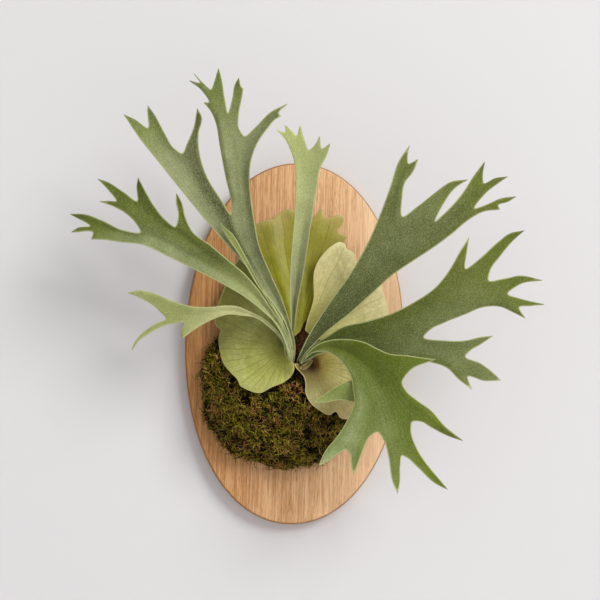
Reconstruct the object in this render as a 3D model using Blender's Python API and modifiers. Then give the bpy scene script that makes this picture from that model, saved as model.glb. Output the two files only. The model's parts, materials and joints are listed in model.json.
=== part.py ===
"""Staghorn fern grown on an upright oval oak board, with the keyhole plate that it hangs by.

+Z is up and the front faces -Y. The origin is the middle of the board's back, on the wall.
Lengths are in millimetres inside the functions and become metres when a mesh is made.
"""

import math

import bmesh
import bpy
import numpy as np
from mathutils.geometry import delaunay_2d_cdt

MM = 0.001
GAP = 0.3

# Board
BOARD_HALF_WIDTH = 121.0
BOARD_HALF_HEIGHT = 200.0
BOARD_THICK = 18.0
BOARD_FULLNESS = 2.08
BOARD_ROUND = 3.0

# Keyhole plate, let into the board's back above the middle
PLATE_Z = 130.0
PLATE_HALF_WIDTH = 9.0
PLATE_HALF_HEIGHT = 24.0
PLATE_THICK = 2.0
PLATE_SUNK = 0.3
HEAD_HOLE_RADIUS = 5.0
SLOT_RADIUS = 2.5
SLOT_LENGTH = 11.0
HEAD_POCKET_DEPTH = 10.0
SCREW_SPACING = 18.5
SCREW_HEAD_RADIUS = 3.2
SCREW_SHANK_RADIUS = 1.6
SCREW_LENGTH = 13.0

# Moss mound
MOUND_X = -12.0
MOUND_Z = -50.0
MOUND_HALF_WIDTH = 90.0
MOUND_HALF_HEIGHT = 88.0
MOUND_SKIRT = 3.0
MOUND_RISE = 46.0

# Fronds. Their outlines are drawn on the board's face as this viewer sees them.
VIEWER = (-100.0, -2000.0, -100.0)
ANTLER_THICK = 1.2
SHIELD_THICK = 1.1
MARGIN_STEP = 13.0
GRID_STEP = 10.5

TIP = "tip"
BARB = "barb"

# Margins, clockwise from the left side of the foot to its right side: (x, z) in mm.
TALL = (
    (-1, -19), (-3, 3), (-11, 20), (-23, 39), (-42, 62), (-54, 80), (-67, 94), (-97, 126),
    (-129, 163), (-157, 196), (-179, 222), (-197, 247, TIP), (-185, 242), (-170, 233),
    (-171, 252), (-171, 258, TIP), (-164, 249), (-151, 227), (-140, 211), (-131, 206),
    (-126, 217), (-119, 236), (-116, 257, TIP), (-111, 248), (-114, 228), (-112, 207),
    (-103, 181), (-86, 155), (-75, 140), (-75, 154), (-81, 177), (-90, 218), (-95, 242),
    (-101, 255), (-109, 264, BARB), (-104, 264), (-112, 278), (-126, 288, TIP), (-114, 286),
    (-121, 296, TIP), (-111, 286), (-101, 279), (-98, 287), (-94, 303, TIP), (-90, 289),
    (-86, 268), (-82, 253), (-77, 271), (-75, 285), (-71, 293, TIP), (-68, 283),
    (-66, 281, BARB), (-67, 272), (-70, 252), (-69, 236), (-63, 228), (-51, 238),
    (-34, 256), (-16, 266, TIP), (-25, 254), (-23, 252, BARB), (-28, 249), (-38, 237),
    (-48, 221), (-55, 198), (-55, 172), (-50, 139), (-42, 104), (-32, 81), (-14, 43),
    (-6, 20), (1, -1), (3, -14),
)
LEFT = (
    (-5, -21), (-8, -8), (-13, 5), (-22, 20), (-37, 34), (-59, 50), (-83, 63), (-110, 76),
    (-143, 91), (-172, 103), (-196, 105), (-213, 107), (-228, 107, TIP), (-226, 113),
    (-250, 114, TIP), (-243, 119), (-230, 121), (-252, 134, TIP), (-236, 134), (-217, 128),
    (-193, 118), (-174, 117), (-180, 127), (-191, 137), (-204, 144), (-220, 149, TIP),
    (-211, 150), (-202, 150), (-210, 161), (-223, 174, TIP), (-213, 171), (-194, 160),
    (-179, 151), (-180, 168), (-179, 177, TIP), (-172, 165), (-160, 146), (-147, 131),
    (-136, 124), (-133, 135), (-136, 152), (-136, 161, TIP), (-130, 151), (-125, 134),
    (-117, 119), (-97, 105), (-77, 89), (-58, 74), (-44, 59), (-30, 40), (-15, 18),
    (-6, 0), (-1, -19),
)
LOWER_LEFT = (
    (-7, -20), (-11, -6), (-17, 5), (-30, 17), (-44, 26), (-60, 28), (-72, 29), (-95, 21),
    (-115, 8), (-125, 0, TIP), (-126, 7), (-123, 17), (-139, 16), (-161, 5), (-172, -4),
    (-179, -14, TIP), (-177, -7), (-170, 3), (-155, 15), (-143, 22), (-148, 28), (-157, 36),
    (-174, 45), (-186, 49, TIP), (-174, 52), (-160, 50), (-138, 42), (-115, 36), (-94, 36),
    (-79, 38), (-67, 38), (-50, 32), (-37, 26), (-26, 18), (-14, 5), (-7, -6), (-4, -18),
)
CENTRE = (
    (0, -11), (-2, -2), (-4, 10), (-5, 21), (-6, 38), (-7, 82), (-4, 145), (-4, 172),
    (-5, 196), (-11, 215), (-19, 229), (-27, 236, TIP), (-17, 234), (-18, 242, TIP),
    (-11, 236), (-5, 230), (-1, 242, TIP), (3, 229), (10, 215), (17, 222), (21, 231, TIP),
    (24, 217), (33, 223, TIP), (29, 209), (23, 197), (19, 170), (14, 132), (9, 90),
    (8, 82), (1, 38), (-1, 16), (1, 3), (4, -12),
)
UPPER_RIGHT = (
    (2, -22), (7, -10), (15, 8), (35, 42), (58, 76), (79, 115), (92, 148), (102, 178),
    (111, 207), (122, 224, TIP), (120, 212), (121, 204), (132, 209, TIP), (126, 194),
    (118, 183), (115, 165), (116, 144), (133, 156), (152, 172), (170, 185), (188, 188, TIP),
    (176, 180), (162, 161), (153, 140), (164, 150), (182, 171), (195, 192), (207, 209, TIP),
    (205, 193), (206, 185), (220, 191), (233, 193, TIP), (222, 185), (209, 174), (197, 156),
    (209, 160), (226, 168), (243, 171, TIP), (234, 165), (223, 160), (225, 156, BARB),
    (207, 153), (190, 143), (172, 127), (153, 112), (129, 95), (107, 79), (83, 56),
    (60, 34), (32, 10), (19, -4), (7, -22),
)
RIGHT = (
    (2, -25), (15, -7), (36, 8), (51, 18), (80, 26), (108, 36), (132, 49), (155, 66),
    (171, 87), (180, 104), (191, 123, TIP), (189, 107), (188, 88), (203, 99), (224, 119),
    (237, 129), (253, 133, TIP), (241, 122), (226, 103), (216, 88), (214, 76), (231, 78),
    (249, 82), (274, 78, TIP), (250, 73), (236, 61), (248, 57), (277, 51, TIP), (262, 49),
    (249, 47), (256, 35, TIP), (243, 41), (228, 47), (209, 46), (188, 37), (165, 27),
    (150, 19), (143, 11), (166, 7), (191, 8), (206, 12), (220, 14, TIP), (206, 4),
    (195, -3), (190, -9), (207, -17), (220, -26), (230, -35, TIP), (212, -36), (193, -32),
    (198, -46, TIP), (183, -35), (170, -23), (156, -18), (130, -16), (104, -15), (78, -9),
    (52, -7), (30, -11), (5, -25),
)
LOWER_RIGHT = (
    (5, -23), (13, -13), (23, -3), (41, 4), (50, 5), (78, 2), (93, -5), (103, -9),
    (127, -11), (144, -13), (157, -14, TIP), (146, -18), (131, -25), (123, -34), (120, -40),
    (124, -49), (137, -60), (152, -70), (168, -87), (189, -103, TIP), (175, -99),
    (155, -90), (141, -83), (132, -84), (131, -91), (138, -113), (152, -133), (166, -149),
    (173, -157, TIP), (160, -151), (139, -133), (127, -123), (122, -121), (120, -131),
    (120, -149), (118, -163, TIP), (112, -149), (107, -122), (101, -104), (94, -96),
    (86, -101), (79, -115), (73, -132), (69, -144, TIP), (66, -132), (64, -120),
    (60, -116), (54, -119), (41, -129), (30, -135, TIP), (37, -119), (50, -102),
    (61, -83), (66, -63), (52, -61), (36, -64), (22, -66, BARB), (43, -50), (64, -38),
    (56, -24), (46, -14), (32, -9), (20, -11), (13, -17), (8, -25),
)
SLENDER = (
    (-3, -17), (-9, 3), (-17, 22), (-29, 42), (-46, 66), (-57, 84), (-66, 98), (-78, 114),
    (-87, 129, TIP), (-72, 117), (-62, 101), (-54, 87), (-43, 67), (-27, 43), (-14, 22),
    (-5, 3), (0, -17),
)
SHIELD_LEFT = (
    (-1, -23), (0, -30), (-3, -37), (-11, -44), (-24, -50), (-38, -56), (-50, -52),
    (-60, -47), (-59, -43), (-68, -37), (-77, -27), (-83, -9), (-84, 4), (-82, 11),
    (-88, 17), (-89, 26), (-85, 42), (-79, 60), (-69, 84), (-62, 93), (-46, 92), (-31, 74),
    (-19, 48), (-14, 22), (-12, 0), (-10, -12), (-6, -19),
)
SHIELD_BACK = (
    (0, 7), (-8, 18), (-22, 45), (-36, 80), (-44, 110), (-47, 128), (-45, 131), (-39, 133),
    (-35, 135), (-28, 136), (-22, 142), (-15, 147), (-8, 147), (2, 142), (10, 138),
    (17, 140), (26, 149), (29, 141), (37, 140), (44, 143), (50, 140), (49, 133), (44, 127),
    (47, 122), (54, 119), (52, 114), (45, 108), (36, 86), (24, 56), (17, 33), (12, 20),
    (5, 12),
)
SHIELD_RIGHT = (
    (11, 14), (13, 24), (19, 46), (20, 82), (22, 88), (28, 98), (39, 109), (47, 113),
    (52, 111), (55, 105), (60, 103), (64, 99), (66, 92), (77, 90), (88, 80), (94, 66),
    (99, 51), (102, 34), (96, 20), (78, 8), (52, 1), (32, 3), (18, 8),
)
SHIELD_LOWER = (
    (14, -23), (10, -30), (12, -39), (13, -52), (19, -66), (29, -74), (41, -79), (47, -75),
    (53, -82), (60, -83), (74, -72), (79, -46), (70, -20), (50, -3), (34, -8), (24, -12),
    (18, -17),
)
BRACT = ((11, -28), (13, -31), (18, -29), (22, -23), (20, -19), (16, -20), (12, -24))

# Distance from the foot, then how far in front of the wall the frond stands there.
RISE_TALL = ((0, 80.0), (60, 90.0), (160, 116.0), (260, 138.0), (340, 160.0))
RISE_LEFT = ((0, 86.0), (60, 98.0), (150, 119.0), (230, 124.0), (290, 114.0))
RISE_LOWER_LEFT = ((0, 82.0), (60, 95.0), (130, 108.0), (200, 100.0))
RISE_CENTRE = ((0, 77.0), (60, 88.0), (150, 116.0), (260, 156.0))
RISE_UPPER_RIGHT = ((0, 82.0), (60, 96.0), (160, 126.0), (250, 150.0), (320, 166.0))
RISE_RIGHT = ((0, 80.2), (60, 92.0), (130, 112.0), (220, 138.0), (300, 148.0))
RISE_LOWER_RIGHT = ((0, 84.0), (45, 104.0), (100, 124.0), (160, 122.0), (220, 100.0))
RISE_SLENDER = ((0, 83.2), (60, 98.0), (110, 113.0), (180, 131.0))

COLOURS = {
    "antler": (0.19, 0.25, 0.11, 1.0),
    "antler_pale": (0.30, 0.36, 0.16, 1.0),
    "shield": (0.30, 0.31, 0.09, 1.0),
    "shield_pale": (0.46, 0.43, 0.19, 1.0),
    "moss": (0.09, 0.11, 0.02, 1.0),
    "rhizome": (0.13, 0.07, 0.035, 1.0),
    "oak": (0.62, 0.39, 0.21, 1.0),
    "zinc": (0.62, 0.63, 0.65, 1.0),
}


def clear_scene():
    for obj in list(bpy.data.objects):
        bpy.data.objects.remove(obj, do_unlink=True)


def new_collection(name):
    collection = bpy.data.collections.new(name)
    bpy.context.scene.collection.children.link(collection)
    return collection


def make_material(name, roughness, metallic=0.0):
    material = bpy.data.materials.new(name)
    material.use_nodes = True
    shader = material.node_tree.nodes["Principled BSDF"]
    shader.inputs["Base Color"].default_value = COLOURS[name]
    shader.inputs["Roughness"].default_value = roughness
    shader.inputs["Metallic"].default_value = metallic
    material.diffuse_color = COLOURS[name]
    return material


def add_object(name, points, faces, material, collection):
    """An object from points in mm, with its faces turned outwards."""
    mesh = bpy.data.meshes.new(name)
    mesh.from_pydata([tuple(MM * c for c in p) for p in points], [], faces)
    shape = bmesh.new()
    shape.from_mesh(mesh)
    bmesh.ops.recalc_face_normals(shape, faces=shape.faces)
    shape.to_mesh(mesh)
    shape.free()
    mesh.materials.append(material)
    obj = bpy.data.objects.new(name, mesh)
    collection.objects.link(obj)
    return obj


def slopes_along(places, values):
    """Slopes of a smooth curve through values at increasing places."""
    steps = np.diff(places)
    chords = np.diff(values, axis=0) / steps.reshape((-1,) + (1,) * (values.ndim - 1))
    slopes = np.empty_like(values)
    slopes[0], slopes[-1] = chords[0], chords[-1]
    for i in range(1, len(values) - 1):
        before, after = steps[i - 1], steps[i]
        slopes[i] = (chords[i - 1] * after + chords[i] * before) / (before + after)
    return slopes


def curve_at(places, values, slopes, where):
    """The smooth curve's values at any places."""
    i = np.clip(np.searchsorted(places, where) - 1, 0, len(places) - 2)
    span = places[i + 1] - places[i]
    t = np.clip((where - places[i]) / span, 0.0, 1.0)
    if values.ndim > 1:
        t, span = t[:, None], span[:, None]
    return (
        values[i] * (1 + 2 * t) * (1 - t) ** 2
        + slopes[i] * span * t * (1 - t) ** 2
        + values[i + 1] * t * t * (3 - 2 * t)
        - slopes[i + 1] * span * t * t * (1 - t)
    )


def smooth_rise(knots, distance):
    places = np.array([k[0] for k in knots], float)
    values = np.array([k[1] for k in knots], float)
    return curve_at(places, values, slopes_along(places, values), distance)


def margin_runs(outline):
    """The outline cut at its tips and barbs, so that each run is smooth."""
    cuts = [0] + [i for i, p in enumerate(outline) if len(p) > 2] + [len(outline) - 1]
    for first, last in zip(cuts, cuts[1:]):
        yield outline[first : last + 1]


def sample_margin(outline, step):
    """(points, lanes) round a frond. A lane number counts the tips passed, from 0 to 1."""
    tips = max(sum(1 for p in outline if p[2:] == (TIP,)), 1)
    points, lanes, lane = [], [], 0.0
    for run in margin_runs(outline):
        corners = np.array([p[:2] for p in run], float)
        lengths = np.linalg.norm(np.diff(corners, axis=0), axis=1)
        places = np.concatenate([[0.0], np.cumsum(lengths)])
        where = [0.0]
        for start, length in zip(places, lengths):
            pieces = max(int(round(length / step)), 1)
            where.extend(start + length * (k + 1) / pieces for k in range(pieces))
        smooth = curve_at(places, corners, slopes_along(places, corners), np.array(where))
        points.extend(smooth[:-1])
        lanes.extend([lane] * (len(where) - 1))
        if run[-1][2:] == (TIP,):
            lane += 1.0 / tips
    points.append(np.array(outline[-1][:2], float))
    lanes.append(1.0)
    return np.array(points), np.array(lanes)


def distance_to_margin(places, margin):
    """Distance of each place to the closed outline, and whether it is inside."""
    a, b = margin, np.roll(margin, -1, axis=0)
    edge = b - a
    away = places[:, None, :] - a[None]
    t = np.clip((away * edge).sum(2) / np.maximum((edge * edge).sum(1), 1e-9), 0, 1)
    near = np.linalg.norm(away - t[..., None] * edge, axis=2).min(axis=1)
    above = (a[:, 1] > places[:, 1:2]) != (b[:, 1] > places[:, 1:2])
    rise = np.where(edge[:, 1] == 0, 1e-9, edge[:, 1])
    cross = a[:, 0] + (places[:, 1:2] - a[:, 1]) * edge[:, 0] / rise
    inside = (above & (places[:, 0:1] < cross)).sum(1) % 2 == 1
    return near, inside


def inner_places(margin, step):
    low, high = margin.min(axis=0), margin.max(axis=0)
    rows = []
    for j, z in enumerate(np.arange(low[1], high[1], step * 0.866)):
        x = np.arange(low[0] + (j % 2) * step / 2, high[0], step)
        rows.append(np.stack([x, np.full(len(x), z)], axis=1))
    places = np.concatenate(rows)
    near, inside = distance_to_margin(places, margin)
    return places[inside & (near > 0.45 * step)]


def spread_lanes(count, rim_lanes, faces):
    """Lane numbers carried from the margin over the whole sheet, as ribs run in a frond."""
    ends = np.array([(f[i], f[(i + 1) % 3]) for f in faces for i in range(3)])
    ends = np.concatenate([ends, ends[:, ::-1]])
    free = count - len(rim_lanes)
    lanes = np.concatenate([rim_lanes, np.full(free, 0.5)])
    degree = np.maximum(np.bincount(ends[:, 0], minlength=count), 1)
    for _ in range(1500 if free else 0):
        total = np.bincount(ends[:, 0], weights=lanes[ends[:, 1]], minlength=count)
        lanes[len(rim_lanes) :] = (total / degree)[len(rim_lanes) :]
    return lanes


def sheet_of(outline, margin_step, grid_step, fan=False):
    """(places, faces, lanes) of a flat frond. In a fan the lanes run evenly round the margin."""
    rim, lanes = sample_margin(outline, margin_step)
    if fan:
        lanes = np.linspace(0.0, 1.0, len(rim))
    places = np.concatenate([rim, inner_places(rim, grid_step)])
    found = delaunay_2d_cdt([tuple(p) for p in places], [], [list(range(len(rim)))], 1, 1e-4)
    flat = np.array([tuple(v) for v in found[0]])
    faces = [tuple(f) for f in found[2] if len(f) == 3]
    order = [group[0] for group in found[3]]
    known = np.full(len(flat), np.nan)
    for here, source in enumerate(order):
        if source < len(rim):
            known[here] = lanes[source]
    rank = np.argsort(np.isnan(known), kind="stable")
    back = np.argsort(rank)
    faces = [tuple(int(back[i]) for i in f) for f in faces]
    flat, known = flat[rank], known[rank]
    return flat, faces, spread_lanes(len(flat), known[~np.isnan(known)], faces)


def toward_viewer(flat, depth):
    """Slides places on the board's face along the line of sight until they stand at depth."""
    eye = np.array(VIEWER)
    t = (-eye[1] - depth) / (-eye[1] - BOARD_THICK)
    x = eye[0] + (flat[:, 0] - eye[0]) * t
    z = eye[2] + (flat[:, 1] - eye[2]) * t
    return np.stack([x, -depth, z], axis=1)


def mound_depth(flat):
    """How far in front of the wall the mound's surface stands."""
    x = (flat[:, 0] - MOUND_X) / MOUND_HALF_WIDTH
    z = (flat[:, 1] - MOUND_Z) / MOUND_HALF_HEIGHT
    rho = np.hypot(x, z)
    rise = np.sqrt(np.clip(1 - rho**2.4, 0, 1))
    return BOARD_THICK + np.where(rho < 1, MOUND_SKIRT + MOUND_RISE * rise, 0.0)


def above_mound(flat, clearance):
    """Depth of a sheet that lies on the mound, found where the sheet really ends up."""
    depth = mound_depth(flat)
    for _ in range(4):
        placed = toward_viewer(flat, depth)
        depth = mound_depth(placed[:, [0, 2]])
    return depth + clearance


def soft_max(a, b, width):
    """The greater of two depths, with the crease between them rounded."""
    return np.maximum(a, b) + width * np.exp(-np.abs(a - b) / width) * 0.5


def antler_depth(flat, lanes, foot, knots, cup, curl, turns, phase):
    """Rise along the frond, with its margins cupped forwards and its lobes curling apart."""
    distance = np.hypot(flat[:, 0] - foot[0], flat[:, 1] - foot[1])
    grown = np.clip(distance / 70.0, 0, 1) ** 1.5
    far = np.clip(distance / knots[-1][0], 0, 1) ** 2
    depth = smooth_rise(knots, distance)
    depth += cup * grown * (2 * lanes - 1) ** 2
    depth += curl * far * np.sin(2 * math.pi * (turns * lanes + phase))
    return depth


def add_sheet(name, flat, depth, faces, thick, material, collection):
    """A frond: its bent sheet given a thickness."""
    obj = add_object(name, toward_viewer(flat, depth), faces, material, collection)
    solid = obj.modifiers.new("thickness", "SOLIDIFY")
    solid.thickness = thick * MM
    solid.offset = 0.0
    return obj


def add_antler(name, outline, knots, cup, curl, turns, phase, material, collection):
    flat, faces, lanes = sheet_of(outline, MARGIN_STEP, GRID_STEP)
    foot = (np.array(outline[0][:2]) + np.array(outline[-1][:2])) / 2
    depth = antler_depth(flat, lanes, foot, knots, cup, curl, turns, phase)
    return add_sheet(name, flat, depth, faces, ANTLER_THICK, material, collection)


def add_lower_right(material, collection):
    """The drooping frond. The lobe at its left margin is folded behind it."""
    flat, faces, lanes = sheet_of(LOWER_RIGHT, MARGIN_STEP, GRID_STEP)
    depth = antler_depth(flat, lanes, (5, -26), RISE_LOWER_RIGHT, 3.0, 7.0, 1.5, 0.1)
    across = np.clip((66 - flat[:, 0]) / 12, 0, 1)
    band = np.clip((flat[:, 1] + 70) / 5, 0, 1) * np.clip((-37 - flat[:, 1]) / 4, 0, 1)
    depth -= 9.0 * across * band
    name = "antler_frond_lower_right"
    return add_sheet(name, flat, depth, faces, ANTLER_THICK, material, collection)


def shield_left_depth(flat, lanes):
    free = 36.0 + 0.36 * (flat[:, 0] + 80)
    hug = above_mound(flat, 5.0)
    near, _ = distance_to_margin(flat, sample_margin(SHIELD_LEFT, 3.0)[0])
    flare = 4.0 * np.clip(1 - near / 16, 0, 1) ** 2 * np.clip((10 - flat[:, 1]) / 40, 0, 1)
    ripple = 1.2 * np.sin(2 * math.pi * 5 * lanes) * np.clip(-flat[:, 0] / 80, 0, 1)
    return soft_max(hug, free, 4.0) + flare + ripple


def shield_back_depth(flat, lanes):
    free = 57.0 - 0.125 * flat[:, 1]
    hug = above_mound(flat, 3.0)
    pleat = 2.6 * np.sin(2 * math.pi * 4 * lanes) * np.clip(flat[:, 1] / 140, 0, 1) ** 1.5
    return soft_max(hug, free, 3.0) + pleat


def shield_right_depth(flat, lanes):
    across = np.clip((flat[:, 0] - 12) / 90, 0, 1)
    free = 67.0 - 20 * across**1.3 - 0.04 * flat[:, 1]
    hug = above_mound(flat, 4.0)
    return soft_max(hug, free, 3.0) + 1.4 * across * np.sin(2 * math.pi * 3 * lanes)


def shield_lower_depth(flat, lanes):
    """It hugs the mound, dips to a pocket by the crown and lifts along its lower margin."""
    free = 69.0 - 0.26 * (flat[:, 0] - 8)
    hug = soft_max(above_mound(flat, 4.5), free, 3.0)
    from_pocket = np.hypot(flat[:, 0] - 19, flat[:, 1] + 23)
    pocket = 5.0 * np.exp(-((from_pocket / 9) ** 2))
    lift = 5.0 * np.clip((from_pocket - 25) / 40, 0, 1)
    return hug - pocket + lift + 1.2 * np.sin(2 * math.pi * 4 * lanes) * lift / 5


def bract_depth(flat, lanes):
    return 76.0 + 0.03 * (flat[:, 0] - 12) ** 2 + 0.0 * lanes


def add_shield(name, outline, rule, thick, material, collection):
    flat, faces, lanes = sheet_of(outline, MARGIN_STEP, GRID_STEP, fan=True)
    return add_sheet(name, flat, rule(flat, lanes), faces, thick, material, collection)


def ring_loft(rings, name, material, collection):
    """A closed body through rings of equal length, capped at both ends."""
    size = len(rings[0])
    points = [p for ring in rings for p in ring]
    faces = [tuple(range(size))]
    for r in range(len(rings) - 1):
        for k in range(size):
            after = (k + 1) % size
            low, high = r * size, (r + 1) * size
            faces.append((low + k, low + after, high + after, high + k))
    faces.append(tuple(range(len(points) - size, len(points))))
    return add_object(name, points, faces, material, collection)


def add_mound(material, collection):
    """A low dome of moss with a lumpy surface and a flat back."""
    around = 44
    rings = []
    for rho in (0.94, 0.985, 1.0, 0.975, 0.93, 0.86, 0.76, 0.64, 0.5, 0.36, 0.22, 0.1):
        ring = []
        on_back = not rings
        for k in range(around):
            angle = 2 * math.pi * k / around
            lump = 1 + 0.02 * math.sin(5 * angle + 1) + 0.014 * math.sin(11 * angle)
            x = MOUND_X + MOUND_HALF_WIDTH * rho * lump * math.cos(angle)
            z = MOUND_Z + MOUND_HALF_HEIGHT * rho * lump * math.sin(angle)
            rise = math.sqrt(max(1 - rho**2.4, 0))
            bump = 1.3 * rho * math.sin(9 * angle + 14 * rho) * math.sin(3.2 * rho)
            depth = BOARD_THICK + MOUND_SKIRT + MOUND_RISE * rise + min(bump, 0.8)
            if len(rings) == 1:
                depth = BOARD_THICK + 1.2
            if on_back:
                depth = BOARD_THICK + GAP
            ring.append((x, -depth, z))
        rings.append(ring)
    return ring_loft(rings, "moss_mound", material, collection)


def rhizome_rings(grow):
    """The stem's rings: thick where it leaves the moss, narrowing to the bud."""
    path = np.array([(12, 45, 18), (10, 48, 8), (7, 55, -3), (5, 62, -13), (4, 69, -21),
                     (3.5, 77, -29), (3.5, 83, -32)], float)
    radii = (5.0, 6.5, 8.0, 8.0, 6.2, 3.8, 2.0)
    across = np.array((1.0, 0.0, 0.0))
    rings = []
    for i, (centre, radius) in enumerate(zip(path, radii)):
        ahead = path[min(i + 1, len(path) - 1)] - path[max(i - 1, 0)]
        ahead /= np.linalg.norm(ahead)
        side = across - ahead * across.dot(ahead)
        side /= np.linalg.norm(side)
        up = np.cross(ahead, side)
        ring = []
        for k in range(14):
            angle = 2 * math.pi * k / 14
            r = radius * (1 + 0.06 * math.sin(3 * angle + 2 * i)) + grow
            p = centre + r * (math.cos(angle) * side + math.sin(angle) * up)
            ring.append((p[0], -p[1], p[2]))
        rings.append(ring)
    return rings


def cut(target, cutter):
    modifier = target.modifiers.new("cut_" + cutter.name, "BOOLEAN")
    modifier.operation = "DIFFERENCE"
    modifier.solver = "EXACT"
    modifier.object = cutter


def prism(name, outline, front, back, material, collection):
    """A flat piece from an outline of (x, z), between two depths behind the front."""
    low = [(x, front, z) for x, z in outline]
    high = [(x, back, z) for x, z in outline]
    return ring_loft([low, high], name, material, collection)


def board_outline():
    """A fuller oval than an ellipse."""
    points = []
    for k in range(128):
        angle = 2 * math.pi * k / 128
        c, s = math.cos(angle), math.sin(angle)
        power = 2 / BOARD_FULLNESS
        x = BOARD_HALF_WIDTH * math.copysign(abs(c) ** power, c)
        z = BOARD_HALF_HEIGHT * math.copysign(abs(s) ** power, s)
        points.append((x, z))
    return points


def stadium(half_width, half_height, centre_z, steps=10):
    points = []
    straight = half_height - half_width
    for end, start in ((1, 0.0), (-1, math.pi)):
        for k in range(steps + 1):
            angle = start + math.pi * k / steps
            x = half_width * math.cos(angle)
            points.append((x, centre_z + end * straight + half_width * math.sin(angle)))
    return points


def round_outline(radius, x, z, steps=20):
    angles = [2 * math.pi * k / steps for k in range(steps)]
    return [(x + radius * math.cos(a), z + radius * math.sin(a)) for a in angles]


def turned(name, profile, z, steps, material, collection):
    """A round piece about an axis along Y at height z. The profile is (radius, y)."""
    rings = [[(x, y, zz) for x, zz in round_outline(r, 0.0, z, steps)] for r, y in profile]
    return ring_loft(rings, name, material, collection)


def screw_profile(extra):
    """Head flush with the plate's back, shank forwards into the board."""
    face = -PLATE_SUNK - 0.1 + (0.6 if extra else 0.0)
    neck = face - 0.3 - (SCREW_HEAD_RADIUS - SCREW_SHANK_RADIUS) - (0.6 if extra else 0)
    head = SCREW_HEAD_RADIUS + extra
    shank = SCREW_SHANK_RADIUS + extra
    end = -PLATE_SUNK - SCREW_LENGTH - extra
    return (
        (head, face),
        (head, face - 0.3 - (0.6 if extra else 0)),
        (shank, neck),
        (shank, end + 1.5),
        (0.5 + extra, end),
    )


def add_board(materials, main, cutters):
    board = prism("oak_board", board_outline(), -BOARD_THICK, 0.0, materials["oak"], main)
    soften = board.modifiers.new("edge_round", "BEVEL")
    soften.width = BOARD_ROUND * MM
    soften.segments = 4
    soften.limit_method = "ANGLE"
    soften.angle_limit = math.radians(60)
    recess = PLATE_THICK + PLATE_SUNK
    outline = stadium(PLATE_HALF_WIDTH + GAP, PLATE_HALF_HEIGHT + GAP, PLATE_Z, 12)
    pocket = prism("cut_plate", outline, -recess - GAP, 5.0, materials["oak"], cutters)
    cut(board, pocket)
    head = stadium(HEAD_HOLE_RADIUS + 0.8, 6.0 + SLOT_LENGTH / 2, PLATE_Z + SLOT_LENGTH / 2 - 5)
    deep = prism("cut_head", head, -recess - HEAD_POCKET_DEPTH, 4.0, materials["oak"], cutters)
    cut(board, deep)
    return board


def keyhole_outline():
    """A round hole for the wall screw's head, with a slot above it for the shank."""
    half = math.asin(SLOT_RADIUS / HEAD_HOLE_RADIUS)
    centre = PLATE_Z - 5.0
    points = []
    for k in range(19):
        angle = math.pi / 2 + half + (2 * math.pi - 2 * half) * k / 18
        points.append((HEAD_HOLE_RADIUS * math.cos(angle),
                       centre + HEAD_HOLE_RADIUS * math.sin(angle)))
    for k in range(9):
        angle = math.pi * k / 8
        points.append((SLOT_RADIUS * math.cos(angle),
                       centre + SLOT_LENGTH + SLOT_RADIUS * math.sin(angle)))
    return points


def add_plate(materials, main, cutters):
    outline = stadium(PLATE_HALF_WIDTH, PLATE_HALF_HEIGHT, PLATE_Z, 12)
    back = -PLATE_SUNK
    plate = prism("keyhole_plate", outline, back - PLATE_THICK, back, materials["zinc"], main)
    hole = prism("cut_keyhole", keyhole_outline(), -9.0, 3.0, materials["zinc"], cutters)
    cut(plate, hole)
    return plate


def add_screws(board, plate, materials, main, cutters):
    for name, side in (("plate_screw_upper", 1), ("plate_screw_lower", -1)):
        z = PLATE_Z + side * SCREW_SPACING
        turned(name, screw_profile(0.0), z, 16, materials["zinc"], main)
        bore = turned("cut_" + name, screw_profile(GAP), z, 16, materials["zinc"], cutters)
        cut(board, bore)
        cut(plate, bore)


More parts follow.
